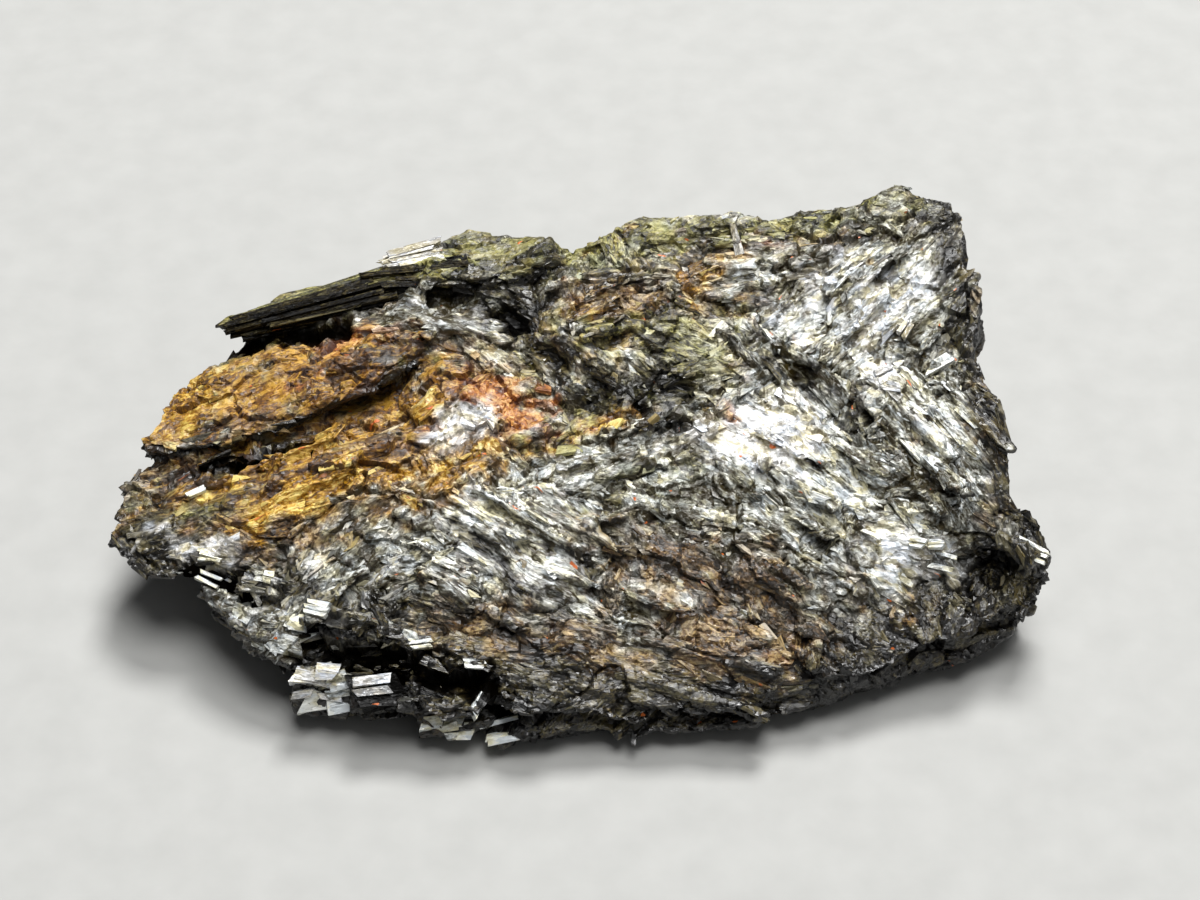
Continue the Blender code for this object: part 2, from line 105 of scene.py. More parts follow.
# Smaller bundles fill the rest. They count as farther away than they are, so they lie under the named ones.
FILL_BUNDLES = 230
FILL_HALF_LENGTH = (1.8, 4.4)
FILL_HALF_WIDTH = (0.9, 1.9)
FILL_FIBROUS = (0.0, 0.8)
FILL_SCATTER = 0.32
FILL_UNDER = 1.5
# The way across the foliation. Where a face lies within the foliation, its fill bundles head to the right.
FOLIATION = np.array((0.0, -0.35, 0.94))
WITHIN_FOLIATION = 0.45
HEADING_SCATTER = 0.8
# Bundles sway this far in waves of this length. The gap between two is this share of the reach, and a bit.
SWAY = 1.1
SWAY_LENGTH = 1.6
GAP_SHARE = 0.18
GAP_LEAST = 0.05


def unit(vectors):
    """The same ways, one unit long."""
    return vectors / np.maximum(np.linalg.norm(vectors, axis=-1, keepdims=True), 1e-9)


def drawn_lot(cell, seed):
    """A number between 0 and 1 that belongs to a whole-numbered place."""
    # Large odd factors scatter the bits, so that neighbouring places draw unrelated lots.
    key = cell[..., 0] * 73856093 ^ cell[..., 1] * 19349663 ^ cell[..., 2] * 83492791 ^ seed * 2654435761
    key = (key ^ (key >> 13)) * 1274126177 & 0x7FFFFFFF
    key = (key ^ (key >> 16)) * 668265263 & 0x7FFFFFFF
    return key / 0x7FFFFFFF


def waves(points, seed):
    """Smooth noise between -1 and 1, one wave about two units long. Each seed gives its own pattern."""
    cell = np.floor(points).astype(np.int64)
    part = points - cell
    ease = part * part * (3.0 - 2.0 * part)
    total = np.zeros(len(points))
    for corner in np.ndindex(2, 2, 2):
        share = np.prod(np.where(np.array(corner) == 1, ease, 1.0 - ease), axis=1)
        total += share * (2.0 * drawn_lot(cell + np.array(corner), seed) - 1.0)
    return total


def waves_in(points, seed, ways=3):
    """Smooth noise in two or three ways at once."""
    return np.stack([waves(points, seed + k) for k in range(ways)], axis=1)


def facets(points, seed):
    """The uneven cell, about one unit wide, that each point is in: its whole-numbered place, the way from
    its middle to the point, and the room left to its edge."""
    # The middle of a cell keeps a tenth of a unit off its sides.
    base = np.floor(points).astype(np.int64)
    nearest = np.full(len(points), np.inf)
    second = np.full(len(points), np.inf)
    cell_of = np.zeros_like(base)
    away_of = np.zeros_like(points)
    for step in np.ndindex(3, 3, 3):
        cell = base + np.array(step) - 1
        jitter = np.stack([drawn_lot(cell, seed + k) for k in range(3)], axis=1)
        away = points - cell - 0.1 - 0.8 * jitter
        apart = (away * away).sum(axis=1)
        closer = apart < nearest
        second = np.where(closer, nearest, np.minimum(second, apart))
        nearest = np.where(closer, apart, nearest)
        cell_of[closer] = cell[closer]
        away_of[closer] = away[closer]
    return cell_of, away_of, np.sqrt(second) - np.sqrt(nearest)


def read(values, key):
    """Three numbers for each point of a mesh, as an array."""
    out = np.empty(len(values) * 3)
    values.foreach_get(key, out)
    return out.reshape(-1, 3)


def give(mesh, name, kind, domain, values):
    """Stores values for each point, face or corner of a mesh."""
    key = {"FLOAT": "value", "FLOAT_VECTOR": "vector", "FLOAT_COLOR": "color"}[kind]
    values = np.ascontiguousarray(values, np.float32)
    mesh.attributes.new(name, kind, domain).data.foreach_set(key, values.ravel())


def near_in_plan(points, middle, reach):
    """How near each point is to a place in plan: 1 within its reach, 0 well outside, soft between."""
    away = (points[:, :2] - np.array(middle)) / np.array(reach)
    return np.exp(-(away[:, 0] ** 4) - away[:, 1] ** 4)


def evaluated_copy(mesh, kind, **settings):
    """The mesh after one modifier of this kind."""
    obj = bpy.data.objects.new("blank", mesh)
    bpy.context.scene.collection.objects.link(obj)
    modifier = obj.modifiers.new("step", kind)
    for key, value in settings.items():
        setattr(modifier, key, value)
    bpy.context.view_layer.update()
    made = bpy.data.meshes.new_from_object(obj.evaluated_get(bpy.context.evaluated_depsgraph_get()))
    bpy.data.objects.remove(obj)
    return made


drawn_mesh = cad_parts["nuummite"].data.copy()
drawn_mesh.transform(Matrix.Scale(1.0 / MM, 4))
fine_mesh = evaluated_copy(drawn_mesh, "REMESH", mode="VOXEL", voxel_size=VOXEL)
rock = read(fine_mesh.vertices, "co")
rock_normal = read(fine_mesh.vertices, "normal")
lowest, highest = (np.array(corner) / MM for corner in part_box("nuummite"))
# Ten rounds even the normals out over half a millimetre, so that a facet is raised all in one direction.
EVENING_ROUNDS = 10
edges = np.empty(2 * len(fine_mesh.edges), np.int32)
fine_mesh.edges.foreach_get("vertices", edges)
edges = edges.reshape(-1, 2)
for _ in range(EVENING_ROUNDS):
    spread = np.zeros_like(rock_normal)
    for k in range(3):
        for here, there in ((0, 1), (1, 0)):
            spread[:, k] += np.bincount(edges[:, here], rock_normal[edges[:, there], k], len(rock))
    rock_normal = unit(rock_normal + spread)


def on_top(x, y):
    """The highest of the forty points of the stone that are nearest to a place in plan."""
    away = np.linalg.norm(rock[:, :2] - np.array((x, y)) - DRAWN_FROM[:2], axis=1)
    near = np.argsort(away)[:40]
    return rock[near[np.argmax(rock[near, 2])]]


bundles = []
for x, y, heading, half_length, half_width, fibrous in BUNDLES.values():
    run = np.array((math.cos(math.radians(heading)), math.sin(math.radians(heading))))
    ahead = on_top(*(np.array((x, y)) + RISE_SPAN * half_length * run))
    behind = on_top(*(np.array((x, y)) - RISE_SPAN * half_length * run))
    rise = (ahead[2] - behind[2]) / (2.0 * RISE_SPAN * half_length)
    run = unit(np.array((*run, np.clip(rise, -STEEPEST_RISE, STEEPEST_RISE))))
    bundles.append((on_top(x, y), run, half_length, half_width, fibrous, 1.0))
for pick in chance.integers(0, len(rock), FILL_BUNDLES):
    run = np.cross(rock_normal[pick], FOLIATION)
    if np.linalg.norm(run) < WITHIN_FOLIATION:
        angle = chance.normal(0.0, HEADING_SCATTER)
        run = np.array((math.cos(angle), math.sin(angle), 0.0))
    run = unit(run + chance.normal(0.0, FILL_SCATTER, 3))
    size = chance.uniform(*FILL_HALF_LENGTH), chance.uniform(*FILL_HALF_WIDTH)
    bundles.append((rock[pick], run, *size, chance.uniform(*FILL_FIBROUS), FILL_UNDER))
bundle_middle, bundle_run, bundle_length, bundle_width, bundle_fibrous, bundle_under = (
    np.array([bundle[k] for bundle in bundles]) for k in range(6)
)
bundle_side = unit(np.cross(bundle_run, FOLIATION))
bundle_up = np.cross(bundle_side, bundle_run)


def bundle_at(points):
    """For each point the bundle that it lies in, and how near it is to the gap beside the next, 0 to 1."""
    moved = points + SWAY * waves_in(points / SWAY_LENGTH, 50)
    nearest = np.full(len(points), np.inf)
    second = np.full(len(points), np.inf)
    number = np.zeros(len(points), np.int64)
    for k in range(len(bundles)):
        away = moved - bundle_middle[k]
        along = away @ bundle_run[k]
        across = np.maximum((away * away).sum(axis=1) - along * along, 0.0)
        reach = bundle_under[k] * np.sqrt((along / bundle_length[k]) ** 2 + across / bundle_width[k] ** 2)
        closer = reach < nearest
        second = np.where(closer, nearest, np.minimum(second, reach))
        number = np.where(closer, k, number)
        nearest = np.minimum(nearest, reach)
    return number, 1.0 - np.clip((second - nearest) / (GAP_SHARE * nearest + GAP_LEAST), 0.0, 1.0)


# The fibres bend this far to the side and up, in waves of this length.
SIDE_BEND = 0.45
UP_BEND = 0.30
BEND_LENGTH = 2.6
# Each bundle takes its patterns from another part of the noise, this far on.
BUNDLES_APART = 37.0


def grain_of(points, number):
    """Places along each point's own bundle and two ways across it."""
    away = points - bundle_middle[number]
    ways = (bundle_run[number], bundle_side[number], bundle_up[number])
    grain = np.stack([(away * way).sum(axis=1) for way in ways], axis=1)
    grain[:, 1] += SIDE_BEND * waves(points / BEND_LENGTH, 11)
    grain[:, 2] += UP_BEND * waves(points / BEND_LENGTH, 12)
    return grain + BUNDLES_APART * number[:, None]


# Facets of three sizes: length when fibrous and when granular, width, step, tilt across, tilt along, and the
# depth and half width of the crack round each. Their edges waver by a share of their width.
FACETS = (
    (8.0, 3.2, 2.0, 0.19, 0.08, 0.04, 0.09, 0.14),
    (4.0, 1.4, 0.80, 0.07, 0.11, 0.04, 0.03, 0.10),
    (1.8, 0.6, 0.34, 0.03, 0.13, 0.07, 0.00, 0.05),
)
FACET_WAVER = 0.22
FACET_WAVER_LENGTH = 0.6
GAP_DEPTH = 0.27
# Fibres run along the fibrous bundles, and grit covers the granular ones.
FIBRE_LENGTH = 4.0
FIBRE_PITCH = 0.42
FIBRE_DEPTH = 0.075
GRIT_DEPTH = 0.03
GRIT_WIDTH = 0.22


def facet_cells(points, grain, fibrous, size):
    """For facets of one size: the relief at each point, the facet's own lot, and how near its crack is."""
    long_ones, short_ones, width, step, tilt_across, tilt_along, crack_depth, crack_width = FACETS[size]
    length = short_ones + fibrous * (long_ones - short_ones)
    scaled = grain / np.stack([length, np.full(len(grain), width), np.full(len(grain), width)], axis=1)
    scaled = scaled + FACET_WAVER * waves_in(points / (FACET_WAVER_LENGTH * width), 20 + 5 * size)
    cell, away, room_left = facets(scaled, 100 + 10 * size)
    lots = [2.0 * drawn_lot(cell, 200 + 10 * size + k) - 1.0 for k in range(4)]
    height = step * lots[0]
    height = height + width * tilt_across * lots[1] * away[:, 1]
    height = height + length * tilt_along * lots[2] * away[:, 0]
    crack = np.clip(1.0 - room_left * width / crack_width, 0.0, 1.0)
    return height - crack_depth * crack, lots[3], crack


def fibre_height(grain):
    """The ridges of the fibres, between -1 and 1."""
    return waves(grain / (FIBRE_LENGTH, 0.5 * FIBRE_PITCH, 0.5 * FIBRE_PITCH), 1)


# Hollows where a bundle has fallen out or a ledge overhangs, made black with painted shade: from, to, radius
# and depth.
HOLLOWS = {
    "under_splinter": ((-20.5, 8.2, 9.7), (-13.6, 8.0, 11.3), 0.7, 1.0),
    "under_ridge": ((-12.4, 9.7, 12.7), (-6.3, 9.5, 12.5), 0.5, 0.6),
    "notch": ((-4.4, 8.2, 12.0), (-3.7, 7.6, 12.0), 0.6, 0.6),
    "dark_ledge": ((-2.4, 5.7, 12.1), (3.4, 2.0, 10.8), 0.35, 0.45),
    "dark_patch": ((4.7, 3.0, 11.3), (6.3, 2.6, 11.4), 0.8, 0.3),
    "arc": ((10.4, 5.2, 12.6), (15.9, 0.6, 11.6), 0.4, 0.7),
    "rust_slot": ((-21.4, 0.1, 8.6), (-15.4, 0.9, 9.7), 0.7, 1.1),
    "left_recess": ((-21.4, -5.8, 5.7), (-17.8, -7.4, 6.2), 0.7, 1.2),
    "under_plate": ((-15.0, -9.0, 6.1), (-12.7, -10.2, 6.2), 0.5, 0.9),
    "overhang": ((-15.4, -10.4, 4.8), (-12.0, -11.2, 4.7), 0.7, 1.1),
    "overhang_deep": ((-12.4, -11.1, 4.7), (-5.6, -12.8, 4.5), 1.0, 1.7),
    "front_corner": ((-5.6, -12.9, 4.4), (-4.0, -13.4, 2.6), 0.8, 1.2),
    "tip_recess": ((21.8, -6.6, 5.6), (23.9, -5.0, 6.2), 0.8, 0.55),
    "right_pit": ((14.1, -5.0, 9.0), (14.7, -5.2, 8.9), 0.9, 0.5),
}
# Their edges are ragged by these shares of the radius, in waves of these lengths.
RAGGED = ((0.55, 0.8), (0.35, 0.3))
# A hollow never reaches half way through the stone. How thick the stone is, is felt from just inside it.
DEEPEST_SHARE = 0.4
FELT_FROM = 0.3
SHALLOWEST = 0.1


def hollow_at(points):
    """How deep the hollows are at each point, and how much of it they fill, 0 to 1, which is how much
    painted shade they lay on the face.
    """
    depth = np.zeros(len(points))
    share = np.zeros(len(points))
    ragged = sum(amount * waves(points / length, 40 + k) for k, (amount, length) in enumerate(RAGGED))
    for start, end, radius, deep in HOLLOWS.values():
        start = np.array(start) + DRAWN_FROM
        way = np.array(end) + DRAWN_FROM - start
        part = np.clip((points - start) @ way / (way @ way), 0.0, 1.0)
        away = np.linalg.norm(points - start - part[:, None] * way, axis=1)
        fall = np.exp(-(np.maximum(away / radius + ragged, 0.0) ** 4))
        depth = np.maximum(depth, deep * fall)
        # One less than a millimetre deep lets some light in, so it gets less painted shade.
        share = np.maximum(share, min(deep, 1.0) ** 1.5 * fall)
    return depth, share


number, gap = bundle_at(rock)
grain = grain_of(rock, number)
fibrous = bundle_fibrous[number]
relief = sum(facet_cells(rock, grain, fibrous, size)[0] for size in range(3))
relief += FIBRE_DEPTH * fibrous * fibre_height(grain)
relief += GRIT_DEPTH * (1.3 - fibrous) * waves(rock / GRIT_WIDTH, 3)
hollow_depth, _ = hollow_at(rock)
drawn_tree = BVHTree.FromPolygons(
    [point.co for point in drawn_mesh.vertices], [list(face.vertices) for face in drawn_mesh.polygons]
)
for k in np.nonzero(hollow_depth > SHALLOWEST)[0]:
    inwards = Vector(-rock_normal[k])
    _, _, _, through = drawn_tree.ray_cast(Vector(rock[k]) + FELT_FROM * inwards, inwards)
    hollow_depth[k] = min(hollow_depth[k], DEEPEST_SHARE * ((through or 0.0) + FELT_FROM))
relief -= GAP_DEPTH * gap * gap + hollow_depth
# The long splinter at the back left is thin, and keeps nearly smooth faces.
SPLINTER_MIDDLE = (-19.5, 9.2)
SPLINTER_REACH = (6.0, 2.4)
SPLINTER_EVENED = 0.75
relief *= 1.0 - SPLINTER_EVENED * near_in_plan(rock, SPLINTER_MIDDLE, SPLINTER_REACH)
# The resting face keeps its plane, and near it the relief only cuts in, and less.
FOOT_HEIGHT = 0.6
FOOT_RELIEF = 0.12
RESTING = 0.02
foot = np.clip(1.0 - rock[:, 2] / FOOT_HEIGHT, 0.0, 1.0)
relief = np.where(foot > 0.0, (1.0 - foot) * relief - foot * FOOT_RELIEF * np.abs(relief), relief)
relief[rock[:, 2] < RESTING] = 0.0
shaped = rock + relief[:, None] * rock_normal
# How far the dressed stone may stand out of the solid's box.
ROOM = np.array((0.2, 0.2, 0.0))
shaped = np.clip(shaped, lowest - ROOM, highest + ROOM)
fine_mesh.vertices.foreach_set("co", shaped.ravel())
# Where each point was before the relief travels with it, so that colours keep to the facets.
give(fine_mesh, "drawn", "FLOAT_VECTOR", "POINT", rock)
give(fine_mesh, "lie", "FLOAT_VECTOR", "POINT", rock_normal)
fine_mesh.update()
full = sum(len(face.vertices) - 2 for face in fine_mesh.polygons)
thinned = min(1.0, TRIANGLES / full)
stone_mesh = evaluated_copy(fine_mesh, "DECIMATE", ratio=thinned, use_collapse_triangulate=True)

# The minerals of the face: each one's colour in its cracks, on its mass and on its brightest cleavage, how
# rough it is and how metallic its lustre looks. Some of it is painted light: silver is partly the grey of
# the amphibole and partly painted sheen, white is a painted highlight where cleavage faces glint, and dark
# is both the black grains and painted shade.
MINERALS_AND_PAINTED_LIGHT = {
    "silver": ("#362d10", "#92938a", "#eff0e8", 0.42, 0.12),
    "white": ("#b0aca4", "#f6f5f2", "#ffffff", 0.30, 0.05),
    "dark": ("#040302", "#1c1608", "#625a3e", 0.38, 0.0),
    "brown": ("#190d02", "#62431a", "#bca070", 0.48, 0.0),
    "olive": ("#171603", "#615c20", "#b0ab6a", 0.52, 0.0),
    "rust": ("#321702", "#7c5006", "#c4952e", 0.56, 0.0),
    "gold": ("#5e3d02", "#be8a18", "#f2d97c", 0.50, 0.0),
    "orange": ("#5a2604", "#a86216", "#e6b26c", 0.56, 0.0),
}
# Where each mineral shows: x, y, heading, half length, half width, strength. The rest is a mixture.
PATCHES = {
    "rust": (
        (-18.6, 5.0, 10, 7.0, 3.0, 3.0), (-14.6, -0.6, 10, 9.0, 2.6, 2.6),
        (-10.5, 4.2, 10, 5.4, 1.4, 1.8), (-12.5, 6.6, -5, 3.8, 0.9, 1.4),
        (-8.0, -3.2, 30, 3.4, 1.4, 1.0), (1.7, 8.2, 20, 4.6, 1.6, 0.9),
    ),
    "gold": (
        (-22.6, 4.4, 34, 2.8, 1.6, 4.4), (-7.2, -1.9, 30, 4.0, 1.7, 3.4),
        (-19.0, -0.8, 12, 5.0, 1.0, 3.2), (-12.0, 1.4, 12, 5.0, 0.9, 3.0),
        (-13.0, -2.0, 14, 4.4, 0.9, 3.2), (6.5, 8.6, 60, 1.3, 1.0, 2.4), (1.1, 1.0, 15, 3.0, 0.8, 2.2),
        (-15.4, -2.8, 14, 4.0, 0.9, 2.8), (9.4, 9.9, 8, 4.0, 0.8, 1.0), (-9.0, 3.0, 10, 1.6, 0.5, 1.4),
        (-1.0, 7.2, 10, 3.0, 0.6, 1.0), (2.0, 12.6, 10, 2.0, 0.7, 1.2),
    ),
    "orange": (
        (-4.2, 2.4, -24, 2.4, 1.4, 7.0), (8.2, 0.8, 0, 0.9, 0.6, 3.6), (-13.4, 7.0, 4, 3.4, 0.5, 3.4),
        (-15.6, 4.6, 10, 3.4, 0.5, 1.8), (-8.4, 0.8, 40, 1.6, 0.5, 2.0), (1.2, 1.2, 12, 1.2, 0.4, 1.8),
        (10.8, -11.2, -10, 1.8, 0.6, 1.2), (11.4, 11.0, 0, 0.9, 0.4, 1.6),
        (-10.6, 6.2, -6, 2.4, 0.4, 1.4), (-2.8, -9.4, -20, 2.4, 0.5, 0.9),
        (13.4, -1.2, -30, 1.6, 0.4, 1.0), (24.0, -8.0, 30, 1.0, 0.5, 1.4),
        (6.0, -5.6, 0, 1.0, 0.4, 0.9),
    ),
    "olive": (
        (-5.0, 11.8, 12, 6.0, 1.8, 1.6), (7.0, 12.6, 4, 8.0, 1.6, 2.2), (17.0, 12.8, 2, 5.0, 1.4, 1.8),
        (-15.4, 10.0, 12, 7.0, 1.8, 2.6), (6.0, 5.6, 0, 4.0, 2.4, 0.9), (-2.0, 0.4, 20, 6.0, 1.2, 1.5),
        (21.0, 6.6, 105, 4.0, 0.5, 3.0), (-20.0, -2.6, 12, 5.0, 0.8, 1.0),
        (2.0, 6.6, 10, 5.0, 1.2, 1.2), (4.2, -2.4, 0, 4.0, 1.8, 1.6), (-10.0, 5.6, -14, 5.0, 0.7, 1.2),
    ),
    "brown": (
        (-1.0, -11.0, -8, 9.0, 2.2, 1.8), (8.0, -9.0, -22, 7.0, 3.0, 1.6),
        (-14.6, -4.4, 14, 7.0, 1.4, 0.9), (20.0, -8.4, -20, 5.0, 1.6, 1.8),
        (22.8, 3.0, 95, 7.0, 1.0, 3.0), (3.6, 7.6, 15, 6.0, 1.6, 1.4), (14.0, 11.2, 6, 7.0, 1.2, 1.2),
        (5.4, -6.0, -10, 4.0, 1.6, 0.8),
    ),
    # Silver patches are partly the grey amphibole and partly painted sheen.
    "silver": (
        (17.2, 7.4, 43, 7.0, 5.2, 3.0), (12.0, -2.4, -28, 7.6, 4.8, 1.6),
        (17.6, -4.4, -16, 5.6, 2.5, 5.0), (-9.4, 8.0, -12, 5.6, 1.4, 1.9),
        (10.2, 9.4, 8, 6.0, 0.9, 1.8), (-4.4, -5.4, -31, 6.8, 3.0, 2.2), (1.1, -1.4, 25, 4.6, 1.6, 3.4),
        (-15.4, -9.4, -26, 6.6, 1.7, 2.6), (-12.6, -6.6, 33, 4.4, 2.2, 1.8),
        (13.0, 4.6, 30, 3.6, 2.0, 2.0), (20.6, 0.8, -46, 4.0, 2.0, 2.2),
        (-24.4, -3.0, 50, 1.5, 1.0, 0.8), (2.4, -9.6, -24, 3.6, 1.0, 1.2),
        (5.2, -3.8, -12, 3.6, 1.8, 2.0),
    ),
    # White patches are painted highlights, where cleavage faces glint.
    "white": (
        (10.4, -0.2, 8, 2.4, 1.3, 16.0), (-6.6, 1.0, 40, 1.9, 1.0, 6.0), (16.2, 6.4, 43, 3.4, 1.1, 3.2),
        (17.0, 3.0, 30, 1.2, 0.9, 4.0), (20.0, 9.4, 43, 3.0, 1.0, 3.0), (13.4, 8.6, 43, 3.0, 1.0, 2.8),
        (18.4, 6.8, 43, 2.6, 0.6, 3.0), (13.0, 6.0, 43, 2.0, 0.6, 2.4), (12.0, 2.2, 0, 1.6, 0.8, 2.2),
        (-10.4, 12.4, 8, 2.2, 0.8, 3.0), (19.6, 0.4, -46, 3.0, 0.7, 2.0),
        (16.8, -4.2, -20, 3.4, 0.9, 3.2), (18.4, -5.7, -16, 3.6, 1.0, 5.0),
        (21.0, -5.2, -20, 2.4, 0.7, 3.4), (2.0, -1.5, 22, 4.0, 0.7, 1.9), (8.9, 13.6, 0, 2.6, 0.7, 2.0),
        (-5.6, -2.8, -31, 2.6, 0.6, 1.3), (-2.2, 1.0, 20, 1.8, 0.6, 1.7),
        (-16.4, -9.8, -26, 3.0, 0.9, 2.0), (12.6, -1.8, -30, 2.6, 0.7, 1.5),
        (20.6, -5.6, -16, 1.8, 0.6, 1.8), (-20.4, -5.0, -12, 1.3, 0.6, 7.0),
        (-17.4, -7.2, -14, 1.0, 0.5, 6.0), (-13.4, -9.7, -20, 1.2, 0.5, 7.0),
        (-24.6, -3.4, 20, 1.0, 0.4, 5.0), (-22.6, -4.2, -20, 0.8, 0.3, 4.0),
        (-9.6, -9.4, -20, 1.2, 0.4, 4.0), (-11.2, -7.4, 30, 1.4, 0.4, 3.4),
        (-9.4, 8.4, -12, 2.6, 0.5, 1.4), (2.6, -0.4, 24, 2.2, 0.5, 1.4),
    ),
    # Many of the dark patches are painted shade: in the ledges, slots, notches and gaps, under the splinter
    # and the overhang at the front left, along the bottom edge at the front, and on the right edge and the
    # lower right side. The rest are black grains and the dark stripes of the striated bundle.
    "dark": (
        (0.4, 3.8, -38, 4.6, 0.5, 4.6), (-4.6, 11.4, 12, 5.0, 1.4, 1.7),
        (15.2, 6.6, -60, 0.6, 0.3, 4.0), (13.0, 3.6, -40, 0.9, 0.5, 4.0),
        (18.2, 4.2, 20, 1.4, 0.5, 3.4), (17.2, 11.0, 40, 1.2, 0.4, 3.4), (4.9, 2.4, 80, 2.0, 1.2, 2.8),
        (12.8, 2.6, -37, 4.6, 0.5, 3.6), (23.2, -5.7, 20, 1.6, 1.1, 8.0),
        (2.4, -5.4, -31, 1.4, 1.0, 2.0), (-18.4, 1.0, 9, 3.4, 0.7, 4.6), (-9.4, 9.9, 3, 5.0, 0.6, 4.0),
        (-3.6, 7.6, -20, 2.0, 1.0, 4.0), (14.4, -5.0, 0, 1.5, 1.1, 3.0),
        (-4.8, -6.6, -31, 4.2, 0.4, 4.0), (-3.2, -7.9, -31, 3.6, 0.35, 3.6),
        (-6.2, -4.9, -31, 3.4, 0.3, 3.4), (-2.2, -5.6, -31, 4.0, 0.3, 3.4),
        (6.0, -12.6, 0, 12.0, 1.2, 2.0), (1.0, -12.6, -4, 7.0, 0.9, 2.4),
        (-15.6, -7.8, -20, 4.6, 1.1, 4.4), (-9.0, -10.6, -16, 4.0, 0.9, 3.4),
        (-17.0, 8.6, 10, 4.0, 0.4, 4.0), (15.8, 11.2, 0, 1.6, 0.5, 1.8),
        (18.6, -2.4, -40, 2.4, 0.4, 2.2), (20.6, 4.6, 60, 1.6, 0.6, 1.6),
        (-19.0, 5.9, 10, 4.0, 0.25, 2.6), (-16.0, 3.4, 12, 4.4, 0.3, 2.8),
        (-20.6, 3.4, 15, 3.0, 0.25, 2.4), (-12.0, 4.9, 12, 4.0, 0.25, 2.2),
        (-18.0, -1.6, 10, 3.4, 0.25, 2.2), (-12.6, -0.4, 14, 3.6, 0.25, 2.0),
        (-18.6, -6.9, -28, 3.4, 0.5, 6.0), (-14.4, -8.6, -20, 3.0, 0.5, 6.0),
        (-12.0, -10.7, -14, 4.0, 0.8, 8.0), (-7.6, -12.2, -10, 4.0, 0.7, 8.0),
        (-21.4, -5.4, -30, 2.0, 0.6, 5.0), (-10.4, -8.6, -24, 1.6, 0.4, 2.6),
        (18.0, -10.2, 33, 8.0, 2.0, 7.0), (21.6, 6.8, 99, 6.0, 0.9, 12.0),
        (23.6, -0.6, 105, 3.4, 0.8, 8.0), (3.0, -13.0, -6, 9.0, 0.9, 3.6),
        (-1.4, -13.4, -4, 4.6, 1.1, 9.0), (-1.0, -10.6, -14, 6.0, 1.2, 1.6),
        (-25.0, -3.6, 40, 2.6, 1.1, 7.0), (24.4, -7.6, 20, 3.0, 1.6, 5.0),
        (-23.8, -4.5, -20, 3.0, 0.9, 5.0), (0.2, -1.4, 0, 1.6, 0.5, 2.2),
        (9.6, -5.8, -40, 1.2, 0.3, 2.0), (1.6, 9.4, 20, 2.6, 0.4, 2.4),
    ),
}
MIXTURE = {
    "silver": 0.7, "white": 0.32, "dark": 0.6, "brown": 0.6, "olive": 0.55, "rust": 0.22, "gold": 0.16,
    "orange": 0.1,
}
# The patches' edges wander this far, in waves of this length and seed.
PATCH_WANDER = ((0.6, 1.1, 60), (0.35, 0.4, 64))
# Each mineral is mottled by this share of its strength, in waves of this length and seed.
MOTTLE = ((0.9, 0.45, 80), (0.5, 1.5, 90))
# The strongest mineral of a place wins the more clearly, the higher this power is.
CLEARNESS = 3.0
# Dark is added in the hollows as painted shade.
PAINTED_SHADE_IN_HOLLOWS = 9.0
# In the sides there is more or less of a mineral, by this share: the extra dark there is painted shade, and
# there is less silver and white. A side begins where the face is this steep, or this far below the plane of
# the top face, or near the foot, where it counts for less.
IN_THE_SIDES = {"silver": -0.85, "white": -0.95, "dark": 2.6, "brown": 0.2, "rust": -0.4, "gold": -0.6}
STEEP = 0.5
BELOW_THE_TOP = 2.5
BELOW_FADE = 3.0
FOOT_STARTS = 1.0
FOOT_FADE = 4.0
FOOT_SHARE = 0.7
# The top face's plane: its height at the middle, and its slopes up to the right and to the back.
TOP_HEIGHT = 10.2
TOP_SLOPES = np.array((0.09, 0.42))


def mineral_and_shade_shares(points, lie):
    """How much of each mineral is at each point, whose evened normal is lie, with dark added as painted
    shade in the hollows and the sides.
    """
    plan = points[:, :2] - DRAWN_FROM[:2]
    for amount, length, seed in PATCH_WANDER:
        plan = plan + amount * waves_in(points / length, seed, 2)
    below = TOP_HEIGHT + plan @ TOP_SLOPES - points[:, 2]
    low = FOOT_SHARE * np.clip(1.0 - (points[:, 2] - FOOT_STARTS) / FOOT_FADE, 0.0, 1.0)
    low = np.maximum(low, np.clip((below - BELOW_THE_TOP) / BELOW_FADE, 0.0, 1.0))
    in_the_side = np.maximum(low, np.clip(1.0 - lie[:, 2] / STEEP, 0.0, 1.0))
    hollow_shade = hollow_at(points)[1] ** 2
    shares = []
    for k, name in enumerate(MINERALS_AND_PAINTED_LIGHT):
        total = np.full(len(points), MIXTURE[name])
        for x, y, heading, half_length, half_width, strength in PATCHES[name]:
            turn = math.radians(heading)
            dx, dy = plan[:, 0] - x, plan[:, 1] - y
            along = (dx * math.cos(turn) + dy * math.sin(turn)) / half_length
            across = (dy * math.cos(turn) - dx * math.sin(turn)) / half_width
            total += strength * np.exp(-along * along - across * across)
        total *= 1.0 + sum(amount * waves(points / length, seed + k) for amount, length, seed in MOTTLE)
        total *= 1.0 + IN_THE_SIDES.get(name, 0.0) * in_the_side
        total += PAINTED_SHADE_IN_HOLLOWS * hollow_shade * (name == "dark")
        shares.append(np.maximum(total, 0.0) ** CLEARNESS)
    shares = np.stack(shares, axis=1)
    return shares / shares.sum(axis=1, keepdims=True)


def linear(colour):
    """An sRGB hex colour as linear red, green, blue and alpha."""
    channels = [int(colour[k : k + 2], 16) / 255 for k in (1, 3, 5)]
    return (*(c / 12.92 if c <= 0.04045 else ((c + 0.055) / 1.055) ** 2.4 for c in channels), 1.0)


